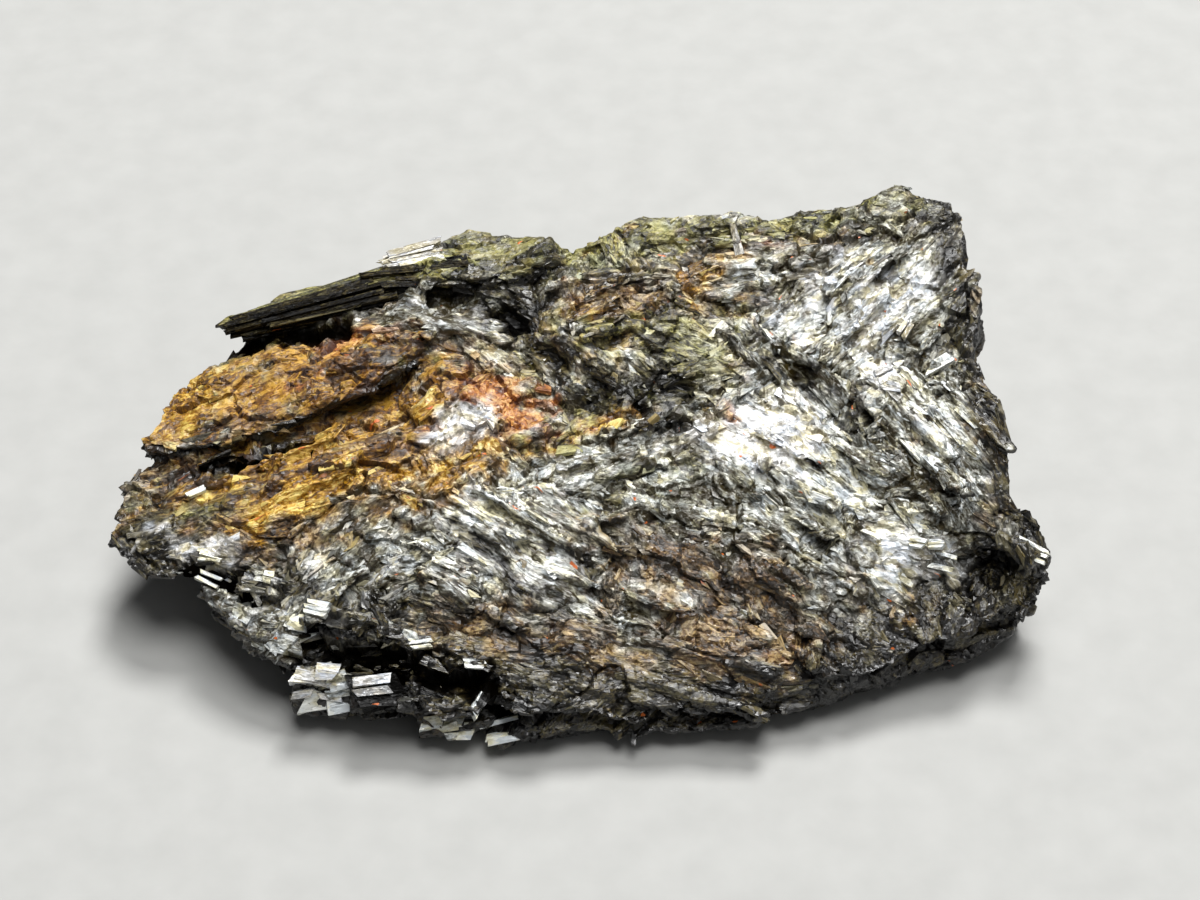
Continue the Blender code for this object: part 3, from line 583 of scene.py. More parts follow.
def add(material, kind, settings=None, links=None, stops=()):
    """Adds a node of this kind, sets its properties and inputs, links it and gives a ramp its colours."""
    node = material.node_tree.nodes.new("ShaderNode" + kind)
    for key, value in (settings or {}).items():
        if isinstance(key, str) and hasattr(node, key):
            setattr(node, key, value)
        else:
            node.inputs[key].default_value = value
    for key, socket in (links or {}).items():
        material.node_tree.links.new(socket, node.inputs[key])
    for k, (position, colour) in enumerate(stops):
        element = node.color_ramp.elements[k] if k < 2 else node.color_ramp.elements.new(position)
        element.position = position
        element.color = linear(colour)
    return node


# Broken amphibole schist. Its colour runs from dark cracks, through the mass of the grains, to their
# brightest cleavage, along streaks that follow the fibres. Single grains lie at their own slant and gloss,
# so that the face glitters, and one in a thousand is painted copper as a painted glint of the flash.
# Real grains are 0.05 mm wide and specks of ore finer still. Both are drawn coarser here, so that they show.
GRAIN_WIDTH = 0.12
SPECK_WIDTH = 0.08
CLEAVAGE_WIDTH = 0.50
STREAK_WIDTH = 0.22
CAST_WIDTH = 0.45
# How much each pattern lightens or darkens. The streaks have more contrast in fibrous bundles.
GRAIN_TONE = 0.28
CLEAVAGE_TONE = 0.45
SPECK_TONE = 1.1
STREAK_TONE = (1.4, 3.9)
EVEN_TONE = 0.5 * (GRAIN_TONE + CLEAVAGE_TONE + SPECK_TONE)
MASS_TONE = EVEN_TONE + 0.5
CLEAVAGE_FULL_TONE = EVEN_TONE + 1.0
CASTS = ((0.5, "#e2e9f6"), (0.62, "#fcfdff"), (0.72, "#ffffff"), (0.84, "#f4eed6"), (0.95, "#e0d6ae"))
CAST_LOT = 0.4
CAST_STRENGTH = 0.85
COPPER_GLINT = "#cf6a2c"
COPPER_GLINT_LOT = (0.9991, 0.9993)
GLOSS_SPREAD = 0.3
STREAK_BUMP = 0.12
GRAIN_BUMP = 0.09
AMPHIBOLE_IOR = 1.66
# The two colour inputs of a mix node, and its colour output.
MIX_A, MIX_B, MIXED = 6, 7, 2

schist = bpy.data.materials.new("broken_amphibole_schist")
schist.use_nodes = True
shader = schist.node_tree.nodes["Principled BSDF"]
link = schist.node_tree.links.new
cracks, mass, cleavage = (
    add(schist, "Attribute", {"attribute_name": name}).outputs["Color"]
    for name in ("cracks", "mass", "cleavage")
)
own_tone, gloss, silky, fibre_share, open_share = (
    add(schist, "Attribute", {"attribute_name": name}).outputs["Fac"]
    for name in ("tone", "gloss", "silk", "fibrous", "open")
)
place = add(schist, "TexCoord").outputs["Object"]
along = add(schist, "Attribute", {"attribute_name": "grain"}).outputs["Vector"]
bend = add(schist, "TexNoise", {"Scale": 1.0 / (2.0 * STREAK_WIDTH), "Detail": 2.0}, {"Vector": along})
half = (0.5, 0.5, 0.5)
links = {0: bend.outputs["Color"], 2: along}
swayed = add(schist, "VectorMath", {"operation": "MULTIPLY_ADD", 1: half}, links).outputs[0]
settings = {"Scale": 1.0 / STREAK_WIDTH, "Detail": 4.0, "Roughness": 0.62}
streaks = add(schist, "TexNoise", settings, {"Vector": swayed}).outputs["Fac"]
settings = {"Scale": 0.5 / (SPECK_WIDTH * MM), "Detail": 3.0, "Roughness": 0.7}
specks = add(schist, "TexNoise", settings, {"Vector": place}).outputs["Fac"]
grains = add(schist, "TexVoronoi", {"Scale": 1.0 / GRAIN_WIDTH}, {"Vector": swayed})
lots = add(schist, "SeparateColor", links={"Color": grains.outputs["Color"]}).outputs
cleavages = add(schist, "TexVoronoi", {"Scale": 1.0 / CLEAVAGE_WIDTH}, {"Vector": swayed})
cleavage_lots = add(schist, "SeparateColor", links={"Color": cleavages.outputs["Color"]}).outputs

# The tone of a place: its own, with streaks, grains, cleavage faces and specks.
streak = add(schist, "Math", {"operation": "SUBTRACT", 1: 0.5}, {0: streaks}).outputs["Value"]
settings = {"To Min": STREAK_TONE[0], "To Max": STREAK_TONE[1]}
contrast = add(schist, "MapRange", settings, {"Value": fibre_share}).outputs["Result"]
links = {0: streak, 1: contrast, 2: own_tone}
tone = add(schist, "Math", {"operation": "MULTIPLY_ADD"}, links).outputs["Value"]
for amount, pattern in (
    (GRAIN_TONE, lots["Red"]),
    (CLEAVAGE_TONE, cleavage_lots["Red"]),
    (SPECK_TONE, specks),
):
    settings = {"operation": "MULTIPLY_ADD", 1: amount}
    tone = add(schist, "Math", settings, {0: pattern, 2: tone}).outputs["Value"]
colour = cracks
for darkest, lightest, lighter in (
    (EVEN_TONE, MASS_TONE, mass),
    (MASS_TONE, CLEAVAGE_FULL_TONE, cleavage),
):
    share = add(schist, "MapRange", {"From Min": darkest, "From Max": lightest}, {"Value": tone})
    links = {"Factor": share.outputs["Result"], MIX_A: colour, MIX_B: lighter}
    colour = add(schist, "Mix", {"data_type": "RGBA"}, links).outputs[MIXED]

# Some grains have a bluish or a brown cast.
drift = add(schist, "TexNoise", {"Scale": 0.5 / (CAST_WIDTH * MM), "Detail": 2.0}, {"Vector": place})
links = {0: cleavage_lots["Green"], 2: drift.outputs["Fac"]}
cast = add(schist, "Math", {"operation": "MULTIPLY_ADD", 1: CAST_LOT}, links)
cast = add(schist, "ValToRGB", links={"Fac": cast.outputs["Value"]}, stops=CASTS)
settings = {"data_type": "RGBA", "blend_type": "MULTIPLY", "Factor": CAST_STRENGTH}
links = {MIX_A: colour, MIX_B: cast.outputs["Color"]}
colour = add(schist, "Mix", settings, links).outputs[MIXED]
# One grain in a thousand is painted copper: a painted glint.
settings = {"From Min": COPPER_GLINT_LOT[0], "From Max": COPPER_GLINT_LOT[1]}
copper_glint = add(schist, "MapRange", settings, {"Value": lots["Blue"]}).outputs["Result"]
links = {"Factor": copper_glint, MIX_A: colour}
colour = add(schist, "Mix", {"data_type": "RGBA", MIX_B: linear(COPPER_GLINT)}, links).outputs[MIXED]
link(colour, shader.inputs["Base Color"])

# Each grain has its own gloss. Nothing glints in the hollows.
settings = {"operation": "MULTIPLY_ADD", 1: GLOSS_SPREAD, 2: -0.5 * GLOSS_SPREAD}
dulled = add(schist, "Math", settings, {0: lots["Green"]}).outputs["Value"]
rough = add(schist, "Math", {"operation": "ADD", "use_clamp": True}, {0: gloss, 1: dulled}).outputs["Value"]
link(rough, shader.inputs["Roughness"])
link(silky, shader.inputs["Metallic"])
link(open_share, shader.inputs["Specular IOR Level"])
shader.inputs["IOR"].default_value = AMPHIBOLE_IOR

# Each grain slants its own way, on top of the streaks.
links = {0: grains.outputs["Color"]}
slant = add(schist, "VectorMath", {"operation": "SUBTRACT", 1: half}, links).outputs[0]
settings = {"operation": "SCALE", "Scale": 1.0 / GRAIN_WIDTH}
scaled = add(schist, "VectorMath", settings, {0: swayed}).outputs[0]
links = {0: scaled, 1: grains.outputs["Position"]}
from_middle = add(schist, "VectorMath", {"operation": "SUBTRACT"}, links).outputs[0]
slope = add(schist, "VectorMath", {"operation": "DOT_PRODUCT"}, {0: slant, 1: from_middle}).outputs["Value"]
ridges = add(schist, "Bump", {"Strength": 0.5, "Distance": STREAK_BUMP * MM}, {"Height": streaks})
links = {"Height": slope, "Normal": ridges.outputs["Normal"]}
slanted = add(schist, "Bump", {"Strength": 0.7, "Distance": GRAIN_BUMP * MM}, links)
link(slanted.outputs["Normal"], shader.inputs["Normal"])


def look_of(shares):
    """The look of a mixture of minerals, given each one's share."""
    look = {}
    for k, name in enumerate(("cracks", "mass", "cleavage")):
        look[name] = shares @ np.array([linear(mineral[k]) for mineral in MINERALS_AND_PAINTED_LIGHT.values()])
    for k, name in ((3, "gloss"), (4, "silk")):
        look[name] = shares @ np.array([mineral[k] for mineral in MINERALS_AND_PAINTED_LIGHT.values()])
    return look


def give_look(mesh, look, times):
    """Stores a look, with each value repeated for the points that share it."""
    for name, values in look.items():
        kind = "FLOAT" if values.ndim == 1 else "FLOAT_COLOR"
        give(mesh, name, kind, "POINT", np.repeat(values, times, axis=0))


# The pattern is drawn out along the fibres: by this much in granular bundles, and this much more in fibrous.
DRAWN_OUT = 1.1
DRAWN_OUT_FIBROUS = 3.6


def shortened(grain, number):
    """The places in the grain, drawn together along the fibres, so that a pattern on them is drawn out."""
    times = DRAWN_OUT + DRAWN_OUT_FIBROUS * bundle_fibrous[number]
    return grain / np.stack([times, *np.ones((2, len(grain)))], axis=1)


def as_piece(name, mesh, material):
    """A mesh in millimetres as a piece of the stone, in metres, riding on its one body."""
    mesh.transform(Matrix.Scale(MM, 4))
    mesh.materials.clear()
    mesh.materials.append(material)
    obj = bpy.data.objects.new(name, mesh)
    bpy.context.scene.collection.objects.link(obj)
    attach(obj, "root")
    return obj


faces = np.empty(len(stone_mesh.polygons) * 3, np.int32)
stone_mesh.polygons.foreach_get("vertices", faces)
faces = faces.reshape(-1, 3)
broken = read(stone_mesh.vertices, "co")
drawn = read(stone_mesh.attributes["drawn"].data, "vector")
lie = read(stone_mesh.attributes["lie"].data, "vector")
centre = drawn[faces].mean(axis=1)
facing = unit(lie[faces].mean(axis=1))
number, gap = bundle_at(centre)
grain = grain_of(centre, number)
fibrous = bundle_fibrous[number]
_, _, wide_crack = facet_cells(centre, grain, fibrous, 0)
_, wide_lot, crack = facet_cells(centre, grain, fibrous, 1)
_, fine_lot, _ = facet_cells(centre, grain, fibrous, 2)
hollow_shade = hollow_at(centre)[1]

# Each bundle has its own lightness, and it drifts by this much, in waves of this length and seed.
BUNDLE_SHADE = 0.16
SHADE_DRIFT = ((0.28, 1.6, 70), (0.2, 0.6, 71))
# Facets are lighter or darker by the first amount, and by as much as the second more in granular bundles.
WIDE_FACET_SHADE = (0.08, 0.26)
FINE_FACET_SHADE = (0.07, 0.12)
GAP_SHADE = 0.45
CRACK_SHADE = 0.15
# Fibre grooves get painted shade and fibre ridges painted light; faces turned away from up get painted
# shade.
FIBRE_PAINTED_SHADE = 0.4
SIDE_PAINTED_SHADE = 0.3
SIDE_FACING = 0.6
# How strongly the open faces shine.
SHINE = 0.5
bundle_tone = chance.random(len(bundles))


def lightness(points, number):
    """How light the stone is round each point."""
    light = 0.5 + BUNDLE_SHADE * (2.0 * bundle_tone[number] - 1.0)
    for amount, length, seed in SHADE_DRIFT:
        light = light + amount * waves(points / length, seed)
    return light


blocky = 1.0 - fibrous
tone = lightness(centre, number)
for (everywhere, when_blocky), lot in ((WIDE_FACET_SHADE, wide_lot), (FINE_FACET_SHADE, fine_lot)):
    tone = tone + (everywhere + when_blocky * blocky) * lot
# Darker in the gaps between bundles and along the cracks. Then painted shade in the fibre grooves and
# painted light on their ridges, and painted shade in the hollows and on faces turned away from up.
tone = tone - GAP_SHADE * np.maximum(gap**2, wide_crack) - CRACK_SHADE * crack
tone = tone + FIBRE_PAINTED_SHADE * fibrous**2 * fibre_height(grain)
tone = tone - hollow_shade - SIDE_PAINTED_SHADE * np.clip(SIDE_FACING - facing[:, 2], 0.0, SIDE_FACING) / SIDE_FACING
give(stone_mesh, "tone", "FLOAT", "FACE", tone)
give(stone_mesh, "fibrous", "FLOAT", "FACE", fibrous)
give(stone_mesh, "open", "FLOAT", "FACE", SHINE * (1.0 - hollow_shade) ** 2)
give_look(stone_mesh, look_of(mineral_and_shade_shares(drawn, lie)), 1)
corner = faces.ravel()
corner_number = np.repeat(number, 3)
corner_grain = shortened(grain_of(drawn[corner], corner_number), corner_number)
give(stone_mesh, "grain", "FLOAT_VECTOR", "CORNER", corner_grain)
for name in ("drawn", "lie"):
    stone_mesh.attributes.remove(stone_mesh.attributes[name])
# Long fibres are round, and everything else breaks in flat faces.
LONG_FIBRES = 0.85
stone_mesh.polygons.foreach_set("use_smooth", fibrous > LONG_FIBRES)
stone = as_piece("broken_stone", stone_mesh, schist)
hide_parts("nuummite")


# ---------------------------------------------------------------- the cleavage flakes
# Where the amphiboles broke, short flat flakes of cleavage lie nearly flush in the face, and catch the
# light one by one. Each is a closed prism, sunk into the stone. In the rusty corner limonite stains them.
FLAKES = 2_600
FLAKE_WIDTH = 0.5
FLAKE_WIDTH_SPREAD = 0.4
FLAKE_WIDEST = 0.8
# How much longer than wide a flake is: from the first to the second, and up to the third more in fibres.
FLAKE_SLENDERNESS = (0.9, 1.6, 1.6)
FLAKE_LENGTHS = (0.2, 2.0)
FLAKE_THICKNESS = 0.3
# Flakes turn from the fibres by this many degrees, and by so much less in fibrous bundles. They roll too.
FLAKE_TURN = 24.0
FLAKE_STEADIED = 16.0
FLAKE_ROLL = 15.0
# Their ends may stand this far out of the face or in it, and the whole flake this much deeper or higher.
STANDS_PROUD = 0.05
FLAKE_SHIFT = (-0.04, 0.05)
# A flake is about as light as the stone round it: lighter by this, give or take. One in five is brighter.
FLAKE_LIGHTER = (0.05, 0.12)
BRIGHT_SHARE = 0.2
BRIGHTER = 0.6
# A prism's section, a little narrower on top, and its six faces. Its corners are uneven, and the pattern
# is drawn out along it.
SLAB = np.array(((-0.5, -0.5), (0.5, -0.5), (0.44, 0.5), (-0.44, 0.5)))
PRISM = np.array(((0, 1, 5, 4), (1, 2, 6, 5), (2, 3, 7, 6), (3, 0, 4, 7), (3, 2, 1, 0), (4, 5, 6, 7)))
UNEVEN = 0.12
PRISM_DRAWN_OUT = 2.5
stone_tree = BVHTree.FromPolygons(broken.tolist(), faces.tolist())


def settled(ends):
    """Flake ends moved so that none stands off the face of the stone or lies deep in it."""
    for k, end in enumerate(ends):
        place, normal, _, _ = stone_tree.find_nearest(end)
        stands = (Vector(end) - place).dot(normal)
        ends[k] = place + normal * min(max(stands, -STANDS_PROUD), STANDS_PROUD)
    return ends


def scattered(count, weight):
    """Random places on the face of the stone, and the evened normal at each."""
    pick = chance.choice(len(faces), count, p=weight / weight.sum())
    a, b = np.sqrt(chance.random(count)), chance.random(count)
    share = np.stack([1 - a, a * (1 - b), a * b], axis=1)[:, :, None]
    return (broken[faces[pick]] * share).sum(axis=1), unit((lie[faces[pick]] * share).sum(axis=1))


def turned(first, second, degrees):
    """Two ways at right angles, turned about the third."""
    angle = np.radians(degrees)[:, None]
    across = np.cos(angle) * second - np.sin(angle) * first
    return np.cos(angle) * first + np.sin(angle) * second, across


def prisms(name, middle, run, side, up, length, width, thick, look, ends=(0.4, 1.0), slanted=1.2):
    """One mesh of closed prisms, their ends narrowed to a share within ends and slanted up to slanted."""
    count = len(middle)
    corners = np.empty((count, 8, 3))
    for end, sign in ((0, -0.5), (4, 0.5)):
        narrow = chance.uniform(*ends, count)
        slant = chance.uniform(-slanted, slanted, count)
        for k in range(4):
            across, rise = SLAB[k, 0] * width, SLAB[k, 1] * thick
            reach = sign * length + slant * across
            corner = middle + reach[:, None] * run + (across * narrow)[:, None] * side
            corners[:, end + k] = corner + (rise * narrow)[:, None] * up
    corners += UNEVEN * np.sqrt(width * thick)[:, None, None] * chance.uniform(-1.0, 1.0, corners.shape)
    corners = np.clip(corners, lowest - ROOM, highest + ROOM)
    mesh = bpy.data.meshes.new(name)
    mesh.vertices.add(count * 8)
    mesh.vertices.foreach_set("co", corners.ravel())
    loops = (PRISM.ravel()[None] + 8 * np.arange(count)[:, None]).ravel()
    mesh.loops.add(len(loops))
    mesh.loops.foreach_set("vertex_index", loops.astype(np.int32))
    mesh.polygons.add(count * 6)
    mesh.polygons.foreach_set("loop_start", np.arange(0, count * 24, 4, dtype=np.int32))
    mesh.update(calc_edges=True)
    mesh.shade_flat()
    give_look(mesh, look, 8)
    # Each prism takes its pattern from another part of the noise.
    along = np.outer(length, np.repeat((-0.5, 0.5), 4)) / PRISM_DRAWN_OUT
    along = along + chance.uniform(0, 400, count)[:, None]
    across = np.outer(width, np.tile(SLAB[:, 0], 2))
    rise = np.outer(thick, np.tile(SLAB[:, 1], 2))
    give(mesh, "grain", "FLOAT_VECTOR", "POINT", np.stack([along, across, rise], axis=-1))
    return mesh


# Flakes are fewer in the sides and fewest underneath, with none at the foot. They are thickest in the front
# left, where the stone split across its bundles, and twice as thick on the right of the top face.
SIDES_SHARE = 0.7
UNDERSIDE_SHARE = 0.4
FOOT_CLEAR = 0.3
SPLIT_PLACE = (-14.0, -9.0)
SPLIT_REACH = (8.0, 3.4)
SPLIT_EXTRA = 4.0
RIGHT_FROM = 8.0
RIGHT_TIMES = 2.0
# A flake is left out if settling stretches or moves it more than this, or if it is this far into a hollow.
STRETCH = (0.85, 1.1)
MOST_MOVED = 0.1
HOLLOW_LIMIT = 0.3
triangles = broken[faces]
area = 0.5 * np.linalg.norm(
    np.cross(triangles[:, 1] - triangles[:, 0], triangles[:, 2] - triangles[:, 0]), axis=1
)
weight = np.where(facing[:, 2] > 0.25, 1.0, SIDES_SHARE)
weight *= np.where(facing[:, 2] < -0.6, UNDERSIDE_SHARE, 1.0)
weight[triangles[:, :, 2].mean(axis=1) < FOOT_CLEAR] = 0.0
weight *= 1.0 + SPLIT_EXTRA * near_in_plan(centre, SPLIT_PLACE, SPLIT_REACH)
weight *= np.where((centre[:, 0] > RIGHT_FROM) & (facing[:, 2] > 0.5), RIGHT_TIMES, 1.0)
place, up = scattered(FLAKES, area * weight)
evened_up = up
bundle, _ = bundle_at(place)
fibrous = bundle_fibrous[bundle]
run = bundle_run[bundle] - (bundle_run[bundle] * up).sum(axis=1, keepdims=True) * up
end_on = np.linalg.norm(run, axis=1, keepdims=True) < 0.3
run = unit(np.where(end_on, np.cross(up, (1.0, 0.1, 0.2)), run))
turn = chance.normal(0.0, 1.0, FLAKES) * (FLAKE_TURN - FLAKE_STEADIED * fibrous)
run, _ = turned(run, np.cross(up, run), turn)
width = FLAKE_WIDTH * np.exp(chance.normal(0.0, FLAKE_WIDTH_SPREAD, FLAKES))
width = np.minimum(width, FLAKE_WIDEST)
least, most, more_in_fibres = FLAKE_SLENDERNESS
length = width * chance.uniform(least, most + more_in_fibres * fibrous, FLAKES)
length = np.clip(length, *FLAKE_LENGTHS)
ends = np.stack([place - 0.5 * length[:, None] * run, place + 0.5 * length[:, None] * run], axis=1)
ends = settled(ends.reshape(-1, 3)).reshape(-1, 2, 3)
# A flake on a sharp edge or over a hollow would stand out like a thorn.
reach = np.linalg.norm(ends[:, 1] - ends[:, 0], axis=1)
moved = np.linalg.norm(ends.mean(axis=1) - place, axis=1)
kept = (reach > STRETCH[0] * length) & (reach < STRETCH[1] * length)
kept &= (moved < MOST_MOVED) & (hollow_at(place)[1] < HOLLOW_LIMIT)
place, up, bundle, fibrous, evened_up, ends, width = (
    part[kept] for part in (place, up, bundle, fibrous, evened_up, ends, width)
)
count = len(place)
thick = FLAKE_THICKNESS * width
length = np.linalg.norm(ends[:, 1] - ends[:, 0], axis=1)
run = unit(ends[:, 1] - ends[:, 0])
up = unit(up - (up * run).sum(axis=1, keepdims=True) * run)
middle = ends.mean(axis=1) + (chance.uniform(*FLAKE_SHIFT, count) - 0.5 * thick)[:, None] * up
side, up = turned(np.cross(up, run), up, chance.normal(0.0, FLAKE_ROLL, count))
shares = mineral_and_shade_shares(place, evened_up)
look = look_of(shares)
look["tone"] = lightness(place, bundle) + chance.normal(*FLAKE_LIGHTER, count)
look["tone"] += BRIGHTER * (chance.random(count) < BRIGHT_SHARE)
look["fibrous"] = fibrous
look["open"] = np.full(count, SHINE)
parts = (middle, run, side, up, length, width, thick)
stained = sum(shares[:, k] for k, name in enumerate(MINERALS_AND_PAINTED_LIGHT) if name in ("rust", "gold", "orange")) > 0.5
for name, own, slot in (
    ("cleavage_flakes", ~stained, "silver_amphibole"),
    ("stained_flakes", stained, "limonite_stain"),
):
    own_look = {key: values[own] for key, values in look.items()}
    as_piece(name, prisms(name, *(part[own] for part in parts), own_look), schist)


# ---------------------------------------------------------------- the sheaves
# Parallel blades that stand out whole: the long splinter at the back left, the sheaf on the ridge, the
# striated fan and the blades at the right. Each sheaf is a bundle of closed blades of one amphibole, grown
# into the stone and thinner towards its first end.
# Mineral, lightness, first and last end, width, thickness and number of blades.
SHEAVES = {
    "splinter": (
        ("dark", 0.4, (-21.0, 8.25, 10.9), (-10.6, 10.4, 12.5), 1.5, 1.2, 34),
        ("olive", 0.35, (-20.4, 8.7, 11.2), (-11.0, 11.0, 13.0), 0.9, 0.4, 16),
    ),
    "ridge_sheaf": (
        ("dark", 0.4, (-13.0, 10.6, 12.7), (-5.2, 10.9, 13.1), 1.5, 1.3, 30),
        # The white blades on the ridge's top are its painted highlight.
        ("white", 0.3, (-11.8, 11.4, 13.4), (-8.0, 12.1, 13.9), 1.0, 0.5, 26),
    ),
    "striated_fan": (
        ("dark", 0.6, (0.2, 6.6, 12.0), (5.4, 8.4, 12.7), 1.4, 0.4, 16),
        ("olive", 0.5, (-0.6, 7.4, 12.1), (5.0, 9.6, 12.8), 2.0, 0.4, 20),
    ),
    "right_blades": (
        ("silver", 0.7, (21.3, -0.9, 10.7), (19.6, 1.2, 11.8), 0.3, 0.1, 4),
        ("dark", 0.4, (20.8, -1.3, 10.55), (19.0, 0.8, 11.75), 0.3, 0.1, 4),
    ),
}
SHEAF_ENDS = (0.3, 0.9)
SHEAF_SLANT = 0.8
# Blades begin late and finish early by up to these shares of the sheaf, and the outer ones begin later.
LATE = 0.4
EARLY = 0.25
OUTER_LATER = 0.25
# A blade's width and thickness, as shares of the sheaf's, before they are divided by the root of the count.
BLADE_WIDTHS = (1.2, 2.6)
BLADE_THICKNESSES = (1.0, 1.8)
CRYSTAL_TONE_SPREAD = 0.2
CRYSTAL_FIBROUS = 0.5
# Black crystals shine less, or they would mirror the lamp as white.
DARK_SHINE = 0.1


def sheaf(first, last, width, thick, count):
    """Blades side by side from one end to the other: their middles, ways and sizes."""
    first = np.array(first) + DRAWN_FROM
    last = np.array(last) + DRAWN_FROM
    whole = np.linalg.norm(last - first)
    run = (last - first) / whole
    side = unit(np.cross(FOLIATION, run))
    up = np.cross(run, side)
    begins = LATE * chance.random(count) ** 1.5
    finishes = 1.0 - EARLY * chance.random(count) ** 2
    across = chance.uniform(-0.5, 0.5, count)
    rise = chance.uniform(-0.5, 0.5, count)
    begins += OUTER_LATER * np.abs(across)
    middle = first + np.outer(0.5 * (begins + finishes) * whole, run)
    middle += np.outer(across * width, side) + np.outer(rise * thick, up)
    # The outer blades lean in towards the thin end.
    leaning = np.outer(0.5 * across * width / whole, side), np.outer(0.5 * rise * thick / whole, up)
    ways = unit(run + leaning[0] + leaning[1])
    sides = unit(np.cross(up, ways))
    length = (finishes - begins) * whole
    broad = width * chance.uniform(*BLADE_WIDTHS, count) / np.sqrt(count)
    deep = thick * chance.uniform(*BLADE_THICKNESSES, count) / np.sqrt(count)
    return middle, ways, sides, np.cross(ways, sides), length, broad, deep


def whole_crystals(piece, name, lightness_of, parts, ends, slanted):
    """One piece made of closed crystals of one mineral."""
    count = len(parts[0])
    look = look_of(np.tile([float(mineral == name) for mineral in MINERALS_AND_PAINTED_LIGHT], (count, 1)))
    look["tone"] = chance.normal(lightness_of, CRYSTAL_TONE_SPREAD, count)
    look["fibrous"] = np.full(count, CRYSTAL_FIBROUS)
    look["open"] = np.full(count, DARK_SHINE if name == "dark" else SHINE)
    mesh = prisms(f"{name}_{piece}", *parts, look, ends, slanted)
    as_piece(mesh.name, mesh, schist)


for piece, rows in SHEAVES.items():
    for k, (name, lightness_of, *form) in enumerate(rows):
        whole_crystals(f"{piece}_{k}", name, lightness_of, sheaf(*form), SHEAF_ENDS, SHEAF_SLANT)


# ---------------------------------------------------------------- the cleavage blocks
# Where the stone split cleanly at the front left, square blocks and bright plates stand out, with black gaps
# between them. The white crystals and the high lightness of the silver ones are painted highlights, where
# cleavage faces glint, and the black of the gaps is painted shade. Each is a cluster of cleavage fragments
# of one amphibole, a little turned and stepped, with uneven corners. They are grown into the face, all but
# the black crystal, which stands out of it.
# Mineral, lightness, middle, heading, pitch and roll in degrees, length, width, thickness, and the number of
# fragments along and across.
BLOCKS = {
    "front_blocks": (
        ("white", 0.25, -14.3, -12.1, 3.6, -6, 0, 46, 2.4, 1.7, 1.2, 2, 3),
        ("silver", 1.0, -13.8, -12.2, 2.4, -2, 0, 62, 2.4, 1.6, 1.3, 2, 1),
        ("silver", 1.2, -13.1, -12.0, 3.5, 10, 0, 44, 1.1, 1.5, 1.0, 1, 3),
        ("silver", 0.9, -7.4, -13.4, 2.1, 6, 4, 42, 2.4, 1.0, 1.0, 2, 1),
        ("silver", 1.1, -6.6, -13.6, 1.7, 10, 4, 52, 1.6, 1.0, 0.8, 2, 2),
        ("silver", 1.3, -4.2, -13.7, 1.5, 14, 6, 50, 1.8, 1.1, 0.9, 1, 3),
        ("silver", 1.0, -5.6, -13.2, 3.5, 70, 10, 30, 1.2, 0.9, 0.8, 1, 1),
        ("silver", 0.8, -17.2, -9.6, 4.4, -28, 0, 36, 1.8, 1.1, 0.8, 2, 1),
        ("silver", 0.8, -15.8, -10.1, 4.5, -24, 0, 36, 1.8, 1.2, 0.8, 2, 1),
        ("silver", 0.75, -19.4, -7.6, 5.0, -44, 0, 36, 1.6, 1.1, 0.7, 2, 1),
        ("silver", 0.8, -18.5, -8.4, 5.3, -34, 0, 32, 1.3, 0.9, 0.6, 1, 1),
        ("silver", 0.9, -16.0, -9.1, 5.5, -20, 0, 28, 1.9, 1.1, 0.6, 2, 1),
        ("silver", 0.9, -9.6, -10.0, 5.4, -20, 0, 26, 1.8, 0.7, 0.6, 2, 1),
    ),
    "black_crystal": (
        ("dark", -0.8, -11.0, -12.5, 3.7, 4, 2, 36, 2.4, 2.0, 1.6, 1, 1),
        # The thin white sheet on the black crystal's top is its painted highlight.
        ("white", 0.1, -11.2, -12.75, 4.35, 4, 2, 36, 1.7, 1.2, 0.3, 1, 2),
        ("dark", -0.6, -9.2, -12.8, 3.3, -4, -3, 40, 1.5, 1.4, 1.0, 1, 1),
        ("dark", -0.3, -7.8, -13.0, 3.3, -8, -6, 34, 2.0, 1.4, 0.9, 2, 1),
    ),
    "bright_plates": (
        ("silver", 1.2, -20.3, -5.2, 6.5, -10, 0, 24, 1.6, 0.8, 0.3, 1, 3),
        ("silver", 1.0, -20.4, -6.4, 6.0, -26, 0, 24, 1.2, 0.6, 0.3, 1, 2),
        ("silver", 1.2, -14.3, -9.1, 6.5, -22, 2, 22, 1.4, 0.9, 0.35, 1, 3),
        ("silver", 1.0, -8.6, -10.6, 5.3, 12, 0, 24, 1.0, 0.6, 0.3, 1, 2),
        ("silver", 1.1, -5.7, -11.6, 4.8, -8, 0, 24, 1.1, 0.6, 0.3, 1, 2),
        ("silver", 0.9, -17.3, -7.2, 7.0, -12, 0, 20, 1.0, 0.7, 0.3, 2, 2),
        ("silver", 1.3, 24.9, -5.5, 7.2, -34, 0, 36, 1.6, 1.0, 0.4, 1, 3),
        ("white", 0.3, 17.0, 3.0, 12.6, 30, 0, 24, 1.0, 0.9, 0.3, 1, 2),
        ("white", 0.2, 17.4, 2.2, 12.4, -20, 0, 30, 0.8, 0.6, 0.3, 1, 2),
        ("white", 0.2, 18.2, 5.3, 13.9, 60, 0, 22, 0.9, 0.7, 0.3, 1, 2),
        ("silver", 1.1, -21.6, -1.5, 7.9, 32, 0, 24, 0.9, 0.5, 0.3, 1, 2),
        ("silver", 1.2, 16.0, -5.6, 8.6, -30, 0, 20, 1.0, 0.4, 0.2, 1, 2),
        ("silver", 1.2, 19.0, -5.5, 7.75, -16, 0, 24, 1.8, 0.6, 0.3, 2, 2),
        ("silver", 1.1, 20.2, -5.9, 6.8, -24, 0, 40, 1.2, 0.6, 0.3, 1, 2),
    ),
}
STANDS_OUT_WHOLE = ("black_crystal",)
BLOCK_ENDS = (0.65, 1.0)
BLOCK_SLANT = 0.6
